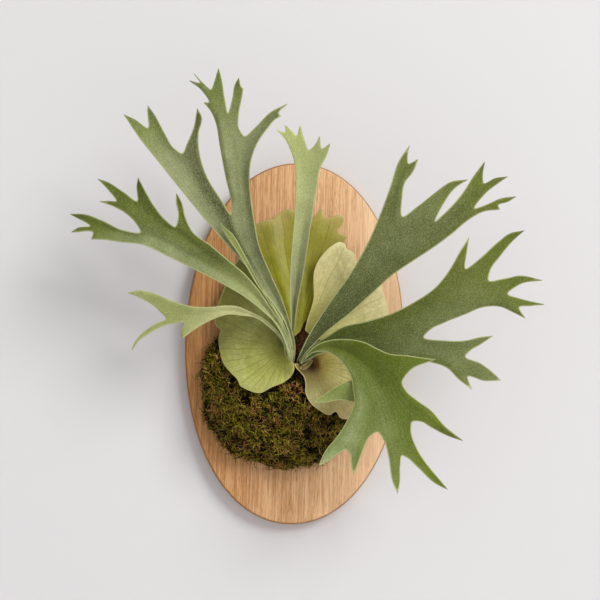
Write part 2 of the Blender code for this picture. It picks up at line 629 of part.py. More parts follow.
def build():
    clear_scene()
    main = new_collection("mounted_staghorn_fern")
    cutters = new_collection("cutters")
    cutters.hide_render = True
    materials = {
        "antler": make_material("antler", 0.6),
        "antler_pale": make_material("antler_pale", 0.6),
        "shield": make_material("shield", 0.45),
        "shield_pale": make_material("shield_pale", 0.5),
        "moss": make_material("moss", 0.95),
        "rhizome": make_material("rhizome", 0.85),
        "oak": make_material("oak", 0.5),
        "zinc": make_material("zinc", 0.35, 1.0),
    }
    green, pale = materials["antler"], materials["antler_pale"]
    board = add_board(materials, main, cutters)
    plate = add_plate(materials, main, cutters)
    add_screws(board, plate, materials, main, cutters)
    mound = add_mound(materials["moss"], main)
    ring_loft(rhizome_rings(0.0), "rhizome", materials["rhizome"], main)
    cut(mound, ring_loft(rhizome_rings(0.5), "cut_rhizome", materials["moss"], cutters))
    add_antler("antler_frond_tall", TALL, RISE_TALL, 4.0, 1.5, 2.0, 0.3, green, main)
    add_antler("antler_frond_left", LEFT, RISE_LEFT, 2.6, 1.5, 2.5, 0.0, green, main)
    add_antler("antler_frond_lower_left", LOWER_LEFT, RISE_LOWER_LEFT, 0.8, 2.0, 1.0, 0.2,
               pale, main)
    add_antler("antler_frond_centre", CENTRE, RISE_CENTRE, 5.0, 0.0, 2.0, 0.0, pale, main)
    add_antler("antler_frond_upper_right", UPPER_RIGHT, RISE_UPPER_RIGHT, 3.2, 2.2, 2.0, 0.6,
               green, main)
    add_antler("antler_frond_right", RIGHT, RISE_RIGHT, 1.8, 3.0, 2.0, 0.2, green, main)
    add_lower_right(green, main)
    add_antler("antler_frond_slender", SLENDER, RISE_SLENDER, 0.6, 0.0, 1.0, 0.0, pale, main)
    add_shield("shield_frond_left", SHIELD_LEFT, shield_left_depth, SHIELD_THICK,
               materials["shield"], main)
    add_shield("shield_frond_back", SHIELD_BACK, shield_back_depth, SHIELD_THICK,
               materials["shield"], main)
    add_shield("shield_frond_right", SHIELD_RIGHT, shield_right_depth, SHIELD_THICK,
               materials["shield_pale"], main)
    add_shield("shield_frond_lower", SHIELD_LOWER, shield_lower_depth, SHIELD_THICK,
               materials["shield_pale"], main)
    add_shield("crown_bract", BRACT, bract_depth, 0.9, materials["shield_pale"], main)
    for obj in cutters.objects:
        obj.hide_render = True
        obj.display_type = "WIRE"


build()
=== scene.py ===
"""Looks of the staghorn fern on its oval oak board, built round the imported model.

Lengths inside the functions are millimetres in the model's frame: +Z up, the front faces -Y,
the origin in the middle of the board's back. They become metres when a mesh is made.
"""

import json
import math

import bpy
import numpy as np
from mathutils import Matrix, Vector, noise
from mathutils.geometry import delaunay_2d_cdt

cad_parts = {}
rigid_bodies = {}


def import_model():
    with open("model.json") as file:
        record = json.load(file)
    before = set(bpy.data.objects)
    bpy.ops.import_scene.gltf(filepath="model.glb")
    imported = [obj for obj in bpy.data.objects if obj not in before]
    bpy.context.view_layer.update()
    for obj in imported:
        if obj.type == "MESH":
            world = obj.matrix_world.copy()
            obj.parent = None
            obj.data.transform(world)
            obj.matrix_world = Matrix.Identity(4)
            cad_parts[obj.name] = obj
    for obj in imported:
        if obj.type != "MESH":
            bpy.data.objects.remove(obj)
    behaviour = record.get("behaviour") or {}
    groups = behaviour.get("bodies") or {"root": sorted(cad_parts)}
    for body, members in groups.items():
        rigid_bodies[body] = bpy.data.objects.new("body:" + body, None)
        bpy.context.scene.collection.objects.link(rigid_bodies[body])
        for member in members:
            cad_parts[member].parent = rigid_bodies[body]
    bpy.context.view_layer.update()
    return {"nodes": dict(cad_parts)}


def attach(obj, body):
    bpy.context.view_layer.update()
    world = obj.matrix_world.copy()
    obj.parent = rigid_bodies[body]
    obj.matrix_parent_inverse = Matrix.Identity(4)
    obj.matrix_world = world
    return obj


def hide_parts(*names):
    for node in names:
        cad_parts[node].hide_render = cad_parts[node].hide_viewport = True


MM = 0.001
BODY = "root"

# Camera
EYE = (-0.1, -2.0, -0.1)
TARGET = (0.005275, 0.0, 0.0485)
LENS = 107.84
ROLL = math.radians(1.62)

# Stage, in metres but for the gap. The wall's opening lies behind the board.
WALL_GAP = 0.6
WALL_REACH = 5.0
WALL_OPENING = (0.115, 0.192)
FLOOR_Z = -1.3
FLOOR_REACH = 8.0
LIGHTS_AIM = (0.0, -0.05, 0.0)

# Board, moss mound and the viewer's place, as in the solid model
BOARD_THICK = 18.0
MOUND_X, MOUND_Z = -12.0, -50.0
MOUND_HALF_WIDTH, MOUND_HALF_HEIGHT = 90.0, 88.0
MOUND_SKIRT, MOUND_RISE = 3.0, 46.0
VIEWER = (-100.0, -2000.0, -100.0)

# Sheets: thickness, and spacing of points along a margin and inside it
ANTLER_THICK, SHIELD_THICK, BRACT_THICK = 1.2, 1.1, 0.9
MARGIN_STEP = 1.5
GRID_STEP = 1.9
BRACT_MARGIN_STEP, BRACT_GRID_STEP = 0.7, 0.8

# Each antler frond's foot bends back behind the shields, this far and within this reach.
FOOT_DIVE, FOOT_DIVE_REACH = 12.0, 7.0

# Crease along an antler frond's middle: depth in mm, width as a share of the blade
CREASE_DEPTH, CREASE_WIDTH = 1.6, 0.13
VEIN_HEIGHT = 0.35

# How far the moss's core, the core's foot and the sprigs stay off the board's face
CORE_CLEAR, FOOT_CLEAR, SPRIG_CLEAR = 0.4, 0.3, 0.2

# The fan of a shield's veins, in radians, that its angle attribute counts as 1
FAN = 2.4

# Conjugate gradients for the lanes: most rounds, and the error a point that ends them
MOST_ROUNDS = 900
SETTLED = 1e-14
BATCH = 1500

TIP = "tip"
BARB = "barb"

# Margins, clockwise from the left side of the foot to its right side: (x, z) in mm on the
# board's face, in line with the viewer.
TALL = (
    (-2, -25), (-4, 0), (-11, 20), (-23, 39), (-42, 62), (-54, 80), (-67, 94), (-97, 126),
    (-129, 163), (-157, 196), (-179, 222), (-197, 247, TIP), (-185, 242), (-170, 233),
    (-171, 252), (-171, 258, TIP), (-164, 249), (-151, 227), (-140, 211), (-131, 206),
    (-126, 217), (-119, 236), (-116, 257, TIP), (-111, 248), (-114, 228), (-112, 207),
    (-103, 181), (-86, 155), (-75, 140), (-75, 154), (-81, 177), (-90, 218), (-95, 242),
    (-101, 255), (-109, 264, BARB), (-104, 264), (-112, 278), (-126, 288, TIP), (-114, 286),
    (-121, 296, TIP), (-111, 286), (-101, 279), (-98, 287), (-94, 303, TIP), (-90, 289),
    (-86, 268), (-82, 253), (-77, 271), (-75, 285), (-71, 293, TIP), (-68, 283),
    (-66, 281, BARB), (-67, 272), (-70, 252), (-69, 236), (-63, 228), (-51, 238),
    (-34, 256), (-16, 266, TIP), (-25, 254), (-23, 252, BARB), (-28, 249), (-38, 237),
    (-48, 221), (-55, 198), (-55, 172), (-50, 139), (-42, 104), (-32, 81), (-14, 43),
    (-6, 20), (0, -1), (0, -24),
)
LEFT = (
    (-3, -25), (-8, -8), (-13, 5), (-22, 20), (-37, 34), (-59, 50), (-83, 63), (-110, 76),
    (-143, 91), (-172, 103), (-196, 105), (-213, 107), (-228, 107, TIP), (-226, 113),
    (-250, 114, TIP), (-243, 119), (-230, 121), (-252, 134, TIP), (-236, 134), (-217, 128),
    (-193, 118), (-174, 117), (-180, 127), (-191, 137), (-204, 144), (-220, 149, TIP),
    (-211, 150), (-202, 150), (-210, 161), (-223, 174, TIP), (-213, 171), (-194, 160),
    (-179, 151), (-180, 168), (-179, 177, TIP), (-172, 165), (-160, 146), (-147, 131),
    (-136, 124), (-133, 135), (-136, 152), (-136, 161, TIP), (-130, 151), (-125, 134),
    (-117, 119), (-97, 105), (-77, 89), (-58, 74), (-44, 59), (-30, 40), (-15, 18),
    (-6, 0), (-1, -25),
)
LOWER_LEFT = (
    (-4, -25), (-10, -8), (-17, 5), (-30, 17), (-44, 26), (-60, 28), (-72, 29), (-95, 21),
    (-115, 8), (-125, 0, TIP), (-126, 7), (-123, 17), (-139, 16), (-161, 5), (-172, -4),
    (-179, -14, TIP), (-177, -7), (-170, 3), (-155, 15), (-143, 22), (-148, 28), (-157, 36),
    (-174, 45), (-186, 49, TIP), (-174, 52), (-160, 50), (-138, 42), (-115, 36), (-94, 36),
    (-79, 38), (-67, 38), (-50, 32), (-37, 26), (-26, 18), (-14, 5), (-7, -8), (-2, -24),
)
CENTRE = (
    (-4, -12), (-4, -2), (-5, 10), (-5, 21), (-6, 38), (-7, 82), (-4, 145), (-4, 172),
    (-5, 196), (-11, 215), (-19, 229), (-27, 236, TIP), (-17, 234), (-18, 242, TIP),
    (-11, 236), (-5, 230), (-1, 242, TIP), (3, 229), (10, 215), (17, 222), (21, 231, TIP),
    (24, 217), (33, 223, TIP), (29, 209), (23, 197), (19, 170), (14, 132), (9, 90),
    (8, 82), (1, 38), (-1, 16), (-2, 3), (-2, -12),
)
UPPER_RIGHT = (
    (1, -25), (6, -12), (15, 8), (35, 42), (58, 76), (79, 115), (92, 148), (102, 178),
    (111, 207), (122, 224, TIP), (120, 212), (121, 204), (132, 209, TIP), (126, 194),
    (118, 183), (115, 165), (116, 144), (133, 156), (152, 172), (170, 185), (188, 188, TIP),
    (176, 180), (162, 161), (153, 140), (164, 150), (182, 171), (195, 192), (207, 209, TIP),
    (205, 193), (206, 185), (220, 191), (233, 193, TIP), (222, 185), (209, 174), (197, 156),
    (209, 160), (226, 168), (243, 171, TIP), (234, 165), (223, 160), (225, 156, BARB),
    (207, 153), (190, 143), (172, 127), (153, 112), (129, 95), (107, 79), (83, 56),
    (60, 34), (32, 10), (17, -6), (3, -24),
)
RIGHT = (
    (2, -25), (15, -7), (36, 8), (51, 18), (80, 26), (108, 36), (132, 49), (155, 66),
    (171, 87), (180, 104), (191, 123, TIP), (189, 107), (188, 88), (203, 99), (224, 119),
    (237, 129), (253, 133, TIP), (241, 122), (226, 103), (216, 88), (214, 76), (231, 78),
    (249, 82), (274, 78, TIP), (250, 73), (236, 61), (248, 57), (277, 51, TIP), (262, 49),
    (249, 47), (256, 35, TIP), (243, 41), (228, 47), (209, 46), (188, 37), (165, 27),
    (150, 19), (143, 11), (166, 7), (191, 8), (206, 12), (220, 14, TIP), (206, 4),
    (195, -3), (190, -9), (207, -17), (220, -26), (230, -35, TIP), (212, -36), (193, -32),
    (198, -46, TIP), (183, -35), (170, -23), (156, -18), (130, -16), (104, -15), (78, -9),
    (52, -7), (30, -11), (5, -25),
)
LOWER_RIGHT = (
    (3, -26), (13, -13), (23, -3), (41, 4), (50, 5), (78, 2), (93, -5), (103, -9),
    (127, -11), (144, -13), (157, -14, TIP), (146, -18), (131, -25), (123, -34), (120, -40),
    (124, -49), (137, -60), (152, -70), (168, -87), (189, -103, TIP), (175, -99),
    (155, -90), (141, -83), (132, -84), (131, -91), (138, -113), (152, -133), (166, -149),
    (173, -157, TIP), (160, -151), (139, -133), (127, -123), (122, -121), (120, -131),
    (120, -149), (118, -163, TIP), (112, -149), (107, -122), (101, -104), (94, -96),
    (86, -101), (79, -115), (73, -132), (69, -144, TIP), (66, -132), (64, -120),
    (60, -116), (54, -119), (41, -129), (30, -135, TIP), (37, -119), (50, -102),
    (61, -83), (68, -63), (66, -50), (64, -38), (56, -24), (46, -14), (32, -9), (20, -11),
    (13, -17), (6, -27),
)
FOLDED_LOBE = (
    (70, -38), (60, -41), (43, -50), (32, -58), (22, -66, TIP), (36, -65), (52, -62),
    (68, -64), (76, -66), (78, -50),
)
SLENDER = (
    (-3, -17), (-9, 3), (-17, 22), (-29, 42), (-46, 66), (-57, 84), (-66, 98), (-78, 114),
    (-87, 129, TIP), (-72, 117), (-62, 101), (-54, 87), (-43, 67), (-27, 43), (-14, 22),
    (-5, 3), (0, -17),
)
SHIELD_LEFT = (
    (-1, -23), (0, -30), (-3, -37), (-11, -44), (-24, -50), (-38, -57), (-50, -54),
    (-59, -49), (-62, -43), (-69, -36), (-77, -27), (-83, -9), (-84, 4), (-82, 11),
    (-88, 17), (-89, 26), (-85, 42), (-79, 60), (-69, 84), (-62, 93), (-46, 92), (-31, 74),
    (-19, 48), (-14, 22), (-12, 0), (-10, -12), (-6, -19),
)
SHIELD_BACK = (
    (0, 7), (-8, 18), (-22, 45), (-36, 80), (-44, 110), (-47, 128), (-45, 131), (-39, 133),
    (-35, 135), (-28, 136), (-22, 142), (-15, 147), (-8, 147), (2, 142), (10, 138),
    (17, 140), (26, 149), (29, 141), (37, 140), (44, 143), (50, 140), (49, 133), (44, 127),
    (47, 122), (54, 119), (52, 114), (45, 108), (36, 86), (24, 56), (17, 33), (12, 20),
    (5, 12),
)
SHIELD_RIGHT = (
    (11, 14), (13, 24), (19, 46), (20, 82), (22, 88), (28, 98), (39, 109), (47, 113),
    (52, 111), (55, 105), (60, 103), (64, 99), (66, 92), (77, 90), (88, 80), (94, 66),
    (99, 51), (102, 34), (96, 20), (78, 8), (52, 1), (32, 3), (18, 8),
)
SHIELD_LOWER = (
    (14, -23), (7, -24), (0, -24), (2, -28), (6, -32), (11, -38), (13, -46), (13, -54),
    (19, -66), (29, -74), (41, -79), (47, -75), (53, -82), (60, -83), (74, -72), (79, -46),
    (70, -20), (50, -3), (34, -8), (24, -12), (18, -17),
)
BRACT = ((6, -28), (9, -30), (13, -29), (18, -24), (20, -19), (17, -19), (13, -22), (9, -25))

# Distance from the foot, then how far in front of the wall the frond stands there.
RISE_TALL = ((0, 80.0), (60, 90.0), (160, 116.0), (260, 138.0), (340, 160.0))
RISE_LEFT = ((0, 86.0), (60, 98.0), (150, 119.0), (230, 124.0), (290, 114.0))
RISE_LOWER_LEFT = ((0, 82.0), (60, 95.0), (130, 108.0), (200, 100.0))
RISE_CENTRE = ((0, 77.0), (60, 88.0), (150, 116.0), (260, 156.0))
RISE_UPPER_RIGHT = ((0, 82.0), (60, 96.0), (160, 126.0), (250, 150.0), (320, 166.0))
RISE_RIGHT = ((0, 78.6), (60, 92.0), (130, 112.0), (220, 138.0), (300, 148.0))
RISE_LOWER_RIGHT = ((0, 84.0), (45, 104.0), (100, 124.0), (160, 122.0), (220, 100.0))
RISE_SLENDER = ((0, 83.2), (60, 98.0), (110, 113.0), (180, 131.0))

EVEN = ((0, 1), (1, 1))
NONE = ((0, 0), (1, 0))

# "colours" are sRGB stops from the foot (0) to the tips (1). The brightness stops and the grey
# bloom's stops run across the blade, from its left margin (0) to its right one (1). The
# brightness across the blade is painted light and shade. The grey bloom is partly the felt's
# own colour, partly a painted sheen.
# A fork is the place across the blade where it splits and the distance from the foot in mm.
ANTLERS = (
    {"node": "antler_frond_tall", "outline": TALL, "rise": RISE_TALL, "cup": 4.0,
     "curl": 1.5, "turns": 2.0, "phase": 0.3, "slot": "antler",
     "forks": ((0.375, 165), (0.7, 265)), "branch_cup": 0.8, "flatten": 0.4,
     "colours": ((0, (156, 161, 116)), (0.22, (140, 145, 100)), (0.38, (106, 112, 68)),
                 (0.6, (112, 119, 66)), (0.76, (132, 139, 88)), (0.88, (114, 125, 58)),
                 (0.97, (84, 100, 12))),
     "tones_and_painted_light": ((0, 1), (0.15, 0.8), (0.25, 0.52), (0.34, 0.36), (0.41, 1), (0.8, 0.96),
               (1, 0.6)), "fuzz": 0.36,
     "bloom_and_sheen": ((0, 0.3), (0.16, 0.2), (0.25, 0), (0.38, 0), (0.46, 0.2), (0.8, 0.2),
                (1, 0))},
    {"node": "antler_frond_left", "outline": LEFT, "rise": RISE_LEFT, "cup": 2.6,
     "curl": 1.5, "turns": 2.5, "phase": 0.0, "slot": "antler",
     "forks": ((0.43, 190), (0.86, 165)), "branch_cup": 1.2, "flatten": 0.4,
     "colours": ((0, (170, 175, 128)), (0.3, (142, 148, 90)), (0.5, (84, 94, 14)),
                 (0.96, (84, 97, 6))),
     "tones_and_painted_light": ((0, 1.15), (0.3, 1.1), (0.43, 0.98), (0.6, 0.95), (1, 0.9)), "fuzz": 0.26,
     "bloom_and_sheen": ((0, 0.35), (0.3, 0.3), (0.5, 0.08), (1, 0))},
    {"node": "antler_frond_lower_left", "outline": LOWER_LEFT, "rise": RISE_LOWER_LEFT,
     "cup": 0.8, "curl": 2.0, "turns": 1.0, "phase": 0.2, "slot": "antler_pale",
     "forks": ((0.5, 130),), "branch_cup": 1.0, "flatten": 0.5,
     # The lighter colour at the tips is painted light on lobes that turn away from the lamp.
     "colours": ((0, (186, 188, 138)), (0.45, (178, 180, 124)), (0.68, (138, 142, 78)),
                 (0.86, (160, 168, 100)), (1, (188, 194, 130))),
     "tones_and_painted_light": EVEN, "fuzz": 0.24,
     "bloom_and_sheen": ((0, 0.1), (1, 0.1))},
    {"node": "antler_frond_centre", "outline": CENTRE, "rise": RISE_CENTRE, "cup": 5.0,
     "curl": 0.0, "turns": 2.0, "phase": 0.0, "slot": "antler_pale",
     "forks": ((0.5, 235),), "branch_cup": 0.6, "flatten": 0.9,
     "colours": ((0, (100, 106, 74)), (0.3, (144, 150, 108)), (0.7, (172, 179, 120)),
                 (0.97, (172, 182, 112))),
     "tones_and_painted_light": ((0, 1.05), (0.5, 1), (1, 0.9)), "fuzz": 0.28,
     "bloom_and_sheen": NONE},
    {"node": "antler_frond_upper_right", "outline": UPPER_RIGHT, "rise": RISE_UPPER_RIGHT,
     "cup": 3.2, "curl": 2.2, "turns": 2.0, "phase": 0.6, "slot": "antler",
     "forks": ((0.25, 190), (0.5, 210)), "branch_cup": 1.0, "flatten": 0.4,
     "colours": ((0, (58, 64, 20)), (0.3, (70, 79, 22)), (0.7, (88, 97, 30)),
                 (0.96, (98, 110, 26))),
     "tones_and_painted_light": EVEN, "fuzz": 0.36,
     "bloom_and_sheen": ((0, 0.06), (0.3, 0.12), (0.7, 0.12), (1, 0.04))},
    {"node": "antler_frond_right", "outline": RIGHT, "rise": RISE_RIGHT, "cup": 1.8,
     "curl": 3.0, "turns": 2.0, "phase": 0.2, "slot": "antler",
     "forks": ((0.6, 150), (0.3, 200)), "branch_cup": 1.0, "flatten": 0.5,
     "colours": ((0, (70, 83, 4)), (0.4, (78, 90, 6)), (0.7, (90, 100, 14)),
                 (0.96, (88, 102, 6))),
     "tones_and_painted_light": EVEN, "fuzz": 0.27,
     "bloom_and_sheen": ((0, 0.02), (0.3, 0.1), (0.65, 0.18), (0.85, 0.22), (1, 0.06))},
    {"node": "antler_frond_lower_right", "outline": LOWER_RIGHT, "rise": RISE_LOWER_RIGHT,
     "cup": 2.2, "curl": 4.0, "turns": 1.5, "phase": 0.1, "slot": "antler",
     "forks": ((0.2, 130), (0.6, 110)), "branch_cup": 1.5, "flatten": 0.5,
     "colours": ((0, (110, 118, 44)), (0.3, (88, 103, 2)), (0.55, (82, 99, 0)),
                 (0.75, (94, 108, 10)), (0.97, (104, 120, 20))),
     "tones_and_painted_light": ((0, 1), (0.45, 0.92), (0.7, 1.1), (0.86, 1.4), (1, 1.2)), "fuzz": 0.18,
     "bloom_and_sheen": ((0, 0), (0.45, 0.05), (0.6, 0.14), (0.72, 0.14), (0.88, 0.5),
                (1, 0.2))},
    {"node": "antler_frond_slender", "outline": SLENDER, "rise": RISE_SLENDER, "cup": 0.6,
     "curl": 0.0, "turns": 1.0, "phase": 0.0, "slot": "antler_pale",
     "forks": (), "branch_cup": 0.0, "flatten": 0.0,
     "colours": ((0, (158, 163, 112)), (0.5, (140, 148, 90)), (1, (128, 140, 68))),
     "tones_and_painted_light": EVEN, "fuzz": 0.12,
     "bloom_and_sheen": NONE},
)


# ---- numbers and curves ----

def linear(colour):
    """sRGB 0 to 255 as the linear RGBA that shaders take."""
    out = []
    for c in colour:
        c /= 255.0
        out.append(c / 12.92 if c <= 0.04045 else ((c + 0.055) / 1.055) ** 2.4)
    return (*out, 1.0)


def slopes_along(places, values):
    """Slope of a smooth curve at each place it passes through."""
    steps = np.diff(places)
    chords = np.diff(values, axis=0) / steps.reshape((-1,) + (1,) * (values.ndim - 1))
    slopes = np.empty_like(values)
    slopes[0], slopes[-1] = chords[0], chords[-1]
    for i in range(1, len(values) - 1):
        before, after = steps[i - 1], steps[i]
        slopes[i] = (chords[i - 1] * after + chords[i] * before) / (before + after)
    return slopes


def curve_at(places, values, slopes, where):
    """The curve's values anywhere along it, by cubic pieces."""
    i = np.clip(np.searchsorted(places, where) - 1, 0, len(places) - 2)
    span = places[i + 1] - places[i]
    t = np.clip((where - places[i]) / span, 0.0, 1.0)
    if values.ndim > 1:
        t, span = t[:, None], span[:, None]
    return (
        values[i] * (1 + 2 * t) * (1 - t) ** 2
        + slopes[i] * span * t * (1 - t) ** 2
        + values[i + 1] * t * t * (3 - 2 * t)
        - slopes[i + 1] * span * t * t * (1 - t)
    )


def smooth_rise(knots, distance):
    places = np.array([k[0] for k in knots], float)
    values = np.array([k[1] for k in knots], float)
    return curve_at(places, values, slopes_along(places, values), distance)


def smoothstep(low, high, x):
    t = np.clip((x - low) / (high - low), 0.0, 1.0)
    return t * t * (3 - 2 * t)


def unit(vectors):
    """Vectors in the same directions, with length 1."""
    return vectors / np.maximum(np.linalg.norm(vectors, axis=-1), 1e-9)[..., None]


def noise_at(points, scale, seed):
    """Smooth noise from -1 to 1 at points in mm, with features scale mm across."""
    shift = Vector((seed * 17.3, seed * 7.1, seed * 3.7))
    return np.array([noise.noise(Vector(p) / scale + shift) for p in points])


# ---- flat outlines to fine sheets ----

def margin_runs(outline):
    """The smooth stretches of an outline between its marked corners."""
    cuts = [0] + [i for i, p in enumerate(outline) if len(p) > 2] + [len(outline) - 1]
    for first, last in zip(cuts, cuts[1:]):
        yield outline[first : last + 1]


def sample_margin(outline, step):
    """(points, lanes) round a frond. A lane number counts the tips passed, from 0 to 1."""
    tips = max(sum(1 for p in outline if p[2:] == (TIP,)), 1)
    points, lanes, lane = [], [], 0.0
    for run in margin_runs(outline):
        corners = np.array([p[:2] for p in run], float)
        lengths = np.linalg.norm(np.diff(corners, axis=0), axis=1)
        places = np.concatenate([[0.0], np.cumsum(lengths)])
        where = [0.0]
        for start, length in zip(places, lengths):
            pieces = max(int(round(length / step)), 1)
            where.extend(start + length * (k + 1) / pieces for k in range(pieces))
        smooth = curve_at(places, corners, slopes_along(places, corners), np.array(where))
        points.extend(smooth[:-1])
        lanes.extend([lane] * (len(where) - 1))
        if run[-1][2:] == (TIP,):
            lane += 1.0 / tips
    points.append(np.array(outline[-1][:2], float))
    lanes.append(1.0)
    return np.array(points), np.array(lanes)


def distance_to_margin(places, margin):
    """Distance of each place to the closed outline, and whether it is inside."""
    a, b = margin, np.roll(margin, -1, axis=0)
    edge = b - a
    rise = np.where(edge[:, 1] == 0, 1e-9, edge[:, 1])
    near, inside = np.empty(len(places)), np.empty(len(places), bool)
    for start in range(0, len(places), BATCH):
        part = slice(start, start + BATCH)
        here = places[part]
        away = here[:, None, :] - a[None]
        t = np.clip((away * edge).sum(2) / np.maximum((edge * edge).sum(1), 1e-9), 0, 1)
        gap = np.linalg.norm(away - t[..., None] * edge, axis=2).min(axis=1)
        above = (a[:, 1] > here[:, 1:2]) != (b[:, 1] > here[:, 1:2])
        cross = a[:, 0] + (here[:, 1:2] - a[:, 1]) * edge[:, 0] / rise
        near[part] = gap
        inside[part] = (above & (here[:, 0:1] < cross)).sum(1) % 2 == 1
    return near, inside


def inner_places(margin, step):
    """Places in staggered rows inside the margin."""
    low, high = margin.min(axis=0), margin.max(axis=0)
    rows = []
    for j, z in enumerate(np.arange(low[1], high[1], step * 0.866)):
        x = np.arange(low[0] + (j % 2) * step / 2, high[0], step)
        rows.append(np.stack([x, np.full(len(x), z)], axis=1))
    places = np.concatenate(rows)
    near, inside = distance_to_margin(places, margin)
    return places[inside & (near > 0.45 * step)]


def spread_lanes(count, rim_lanes, faces):
    """Lane numbers carried from the margin over the sheet, by conjugate gradients."""
    fixed = len(rim_lanes)
    f = np.array(faces)
    a = np.concatenate([f[:, 0], f[:, 1], f[:, 2], f[:, 1], f[:, 2], f[:, 0]])
    b = np.concatenate([f[:, 1], f[:, 2], f[:, 0], f[:, 0], f[:, 1], f[:, 2]])
    degree = np.maximum(np.bincount(a, minlength=count), 1).astype(float)

    def pull(x):
        return (degree * x - np.bincount(a, weights=x[b], minlength=count))[fixed:]

    rim = np.zeros(count)
    rim[:fixed] = rim_lanes
    value = np.zeros(count)
    value[fixed:] = 0.5
    left = -pull(rim) - pull(value)
    scale = 1 / degree[fixed:]
    lifted = left * scale
    step = np.zeros(count)
    step[fixed:] = lifted
    power = left @ lifted
    for _ in range(MOST_ROUNDS):
        if power < SETTLED * max(count, 1):
            break
        pulled = pull(step)
        reach = power / (step[fixed:] @ pulled)
        value[fixed:] += reach * step[fixed:]
        left -= reach * pulled
        lifted = left * scale
        was, power = power, left @ lifted
        step[fixed:] = lifted + power / was * step[fixed:]
    value[:fixed] = rim_lanes
    return value


def sheet_of(outline, fan=False, margin_step=MARGIN_STEP, grid_step=GRID_STEP):
    """(places, faces, lanes, rim count, distance to the margin) of a flat frond.

    The margin's places come first and in order.
    """
    rim, lanes = sample_margin(outline, margin_step)
    if fan:
        lanes = np.linspace(0.0, 1.0, len(rim))
    places = np.concatenate([rim, inner_places(rim, grid_step)])
    found = delaunay_2d_cdt([tuple(p) for p in places], [], [list(range(len(rim)))], 1, 1e-5)
    flat = np.array([tuple(v) for v in found[0]])
    source = np.array([group[0] for group in found[3]])
    rank = np.argsort(source, kind="stable")
    back = np.argsort(rank)
    faces = np.array([tuple(f) for f in found[2] if len(f) == 3])
    faces = back[faces]
    flat = flat[rank]
    count = int((source < len(rim)).sum())
    lanes = lanes[source[rank][:count]]
    near, _ = distance_to_margin(flat, flat[:count])
    near[:count] = 0.0
    return flat, faces, spread_lanes(len(flat), lanes, faces), count, near


# ---- depth rules, after the solid model ----

def toward_viewer(flat, depth):
    """Places on the board's face, brought out to their depth along the viewer's lines."""
    eye = np.array(VIEWER)
    t = (-eye[1] - depth) / (-eye[1] - BOARD_THICK)
    x = eye[0] + (flat[:, 0] - eye[0]) * t
    z = eye[2] + (flat[:, 1] - eye[2]) * t
    return np.stack([x, -depth, z], axis=1)


def on_board_face(points):
    """Where the viewer sees points, as places on the board's face."""
    eye = np.array(VIEWER)
    t = (-eye[1] - BOARD_THICK) / (-eye[1] + points[:, 1])
    x = eye[0] + (points[:, 0] - eye[0]) * t
    z = eye[2] + (points[:, 2] - eye[2]) * t
    return np.stack([x, z], axis=1)


def mound_depth(flat):
    """How far in front of the wall the smooth moss mound stands."""
    x = (flat[:, 0] - MOUND_X) / MOUND_HALF_WIDTH
    z = (flat[:, 1] - MOUND_Z) / MOUND_HALF_HEIGHT
    rho = np.hypot(x, z)
    rise = np.sqrt(np.clip(1 - rho**2.4, 0, 1))
    return BOARD_THICK + np.where(rho < 1, MOUND_SKIRT + MOUND_RISE * rise, 0.0)


def above_mound(flat, clearance):
    """Depth at which a sheet lies clearance above the mound, as the viewer sees it."""
    depth = mound_depth(flat)
    for _ in range(4):
        placed = toward_viewer(flat, depth)
        depth = mound_depth(placed[:, [0, 2]])
    return depth + clearance


def soft_max(a, b, width):
    return np.maximum(a, b) + width * np.exp(-np.abs(a - b) / width) * 0.5


def branch_channels(lanes, distance, frond):
    """Extra cupping of each branch beyond the fork. A fork is (lane, distance from the foot)."""
    cuts = [0.0] + sorted(lane for lane, _ in frond["forks"]) + [1.0]
    grown = np.zeros(len(lanes))
    for _, start in frond["forks"]:
        grown = np.maximum(grown, smoothstep(start - 25, start + 30, distance))
    local = np.zeros(len(lanes))
    for low, high in zip(cuts, cuts[1:]):
        here = (lanes >= low) & (lanes <= high)
        local[here] = (2 * (lanes[here] - low) / (high - low) - 1) ** 2
    return frond["branch_cup"] * grown * local


def antler_depth(flat, lanes, foot, frond):
    distance = np.hypot(flat[:, 0] - foot[0], flat[:, 1] - foot[1])
    grown = np.clip(distance / 50.0, 0, 1) ** 1.3
    reach = distance / distance.max()
    grown = grown * (1 - frond["flatten"] * smoothstep(0.45, 0.85, reach))
    far = np.clip(distance / frond["rise"][-1][0], 0, 1) ** 2
    depth = smooth_rise(frond["rise"], distance)
    depth += frond["cup"] * grown * (2 * lanes - 1) ** 2
    depth += frond["curl"] * far * np.sin(
        2 * math.pi * (frond["turns"] * lanes + frond["phase"]))
    return depth + branch_channels(lanes, distance, frond)


# Every shield's rule takes its flat places, their lanes and their distance to the margin.

def shield_left_depth(flat, lanes, near):
    free = 36.0 + 0.36 * (flat[:, 0] + 80)
    hug = above_mound(flat, 5.0)
    flare = 4.0 * np.clip(1 - near / 16, 0, 1) ** 2 * np.clip((10 - flat[:, 1]) / 40, 0, 1)
    ripple = 1.2 * np.sin(2 * math.pi * 5 * lanes) * np.clip(-flat[:, 0] / 80, 0, 1)
    lip = 7.0 * np.exp(-(np.hypot(flat[:, 0] + 2, flat[:, 1] + 27) / 10) ** 2)
    return soft_max(hug, free, 4.0) + flare + ripple + lip


def shield_back_depth(flat, lanes, near):
    free = 57.0 - 0.125 * flat[:, 1]
    hug = above_mound(flat, 3.0)
    pleat = 2.6 * np.sin(2 * math.pi * 4 * lanes) * np.clip(flat[:, 1] / 140, 0, 1) ** 1.5
    return soft_max(hug, free, 3.0) + pleat


def shield_right_depth(flat, lanes, near):
    across = np.clip((flat[:, 0] - 12) / 90, 0, 1)
    free = 67.0 - 20 * across**1.3 - 0.04 * flat[:, 1]
    hug = above_mound(flat, 4.0)
    return soft_max(hug, free, 3.0) + 1.4 * across * np.sin(2 * math.pi * 3 * lanes)


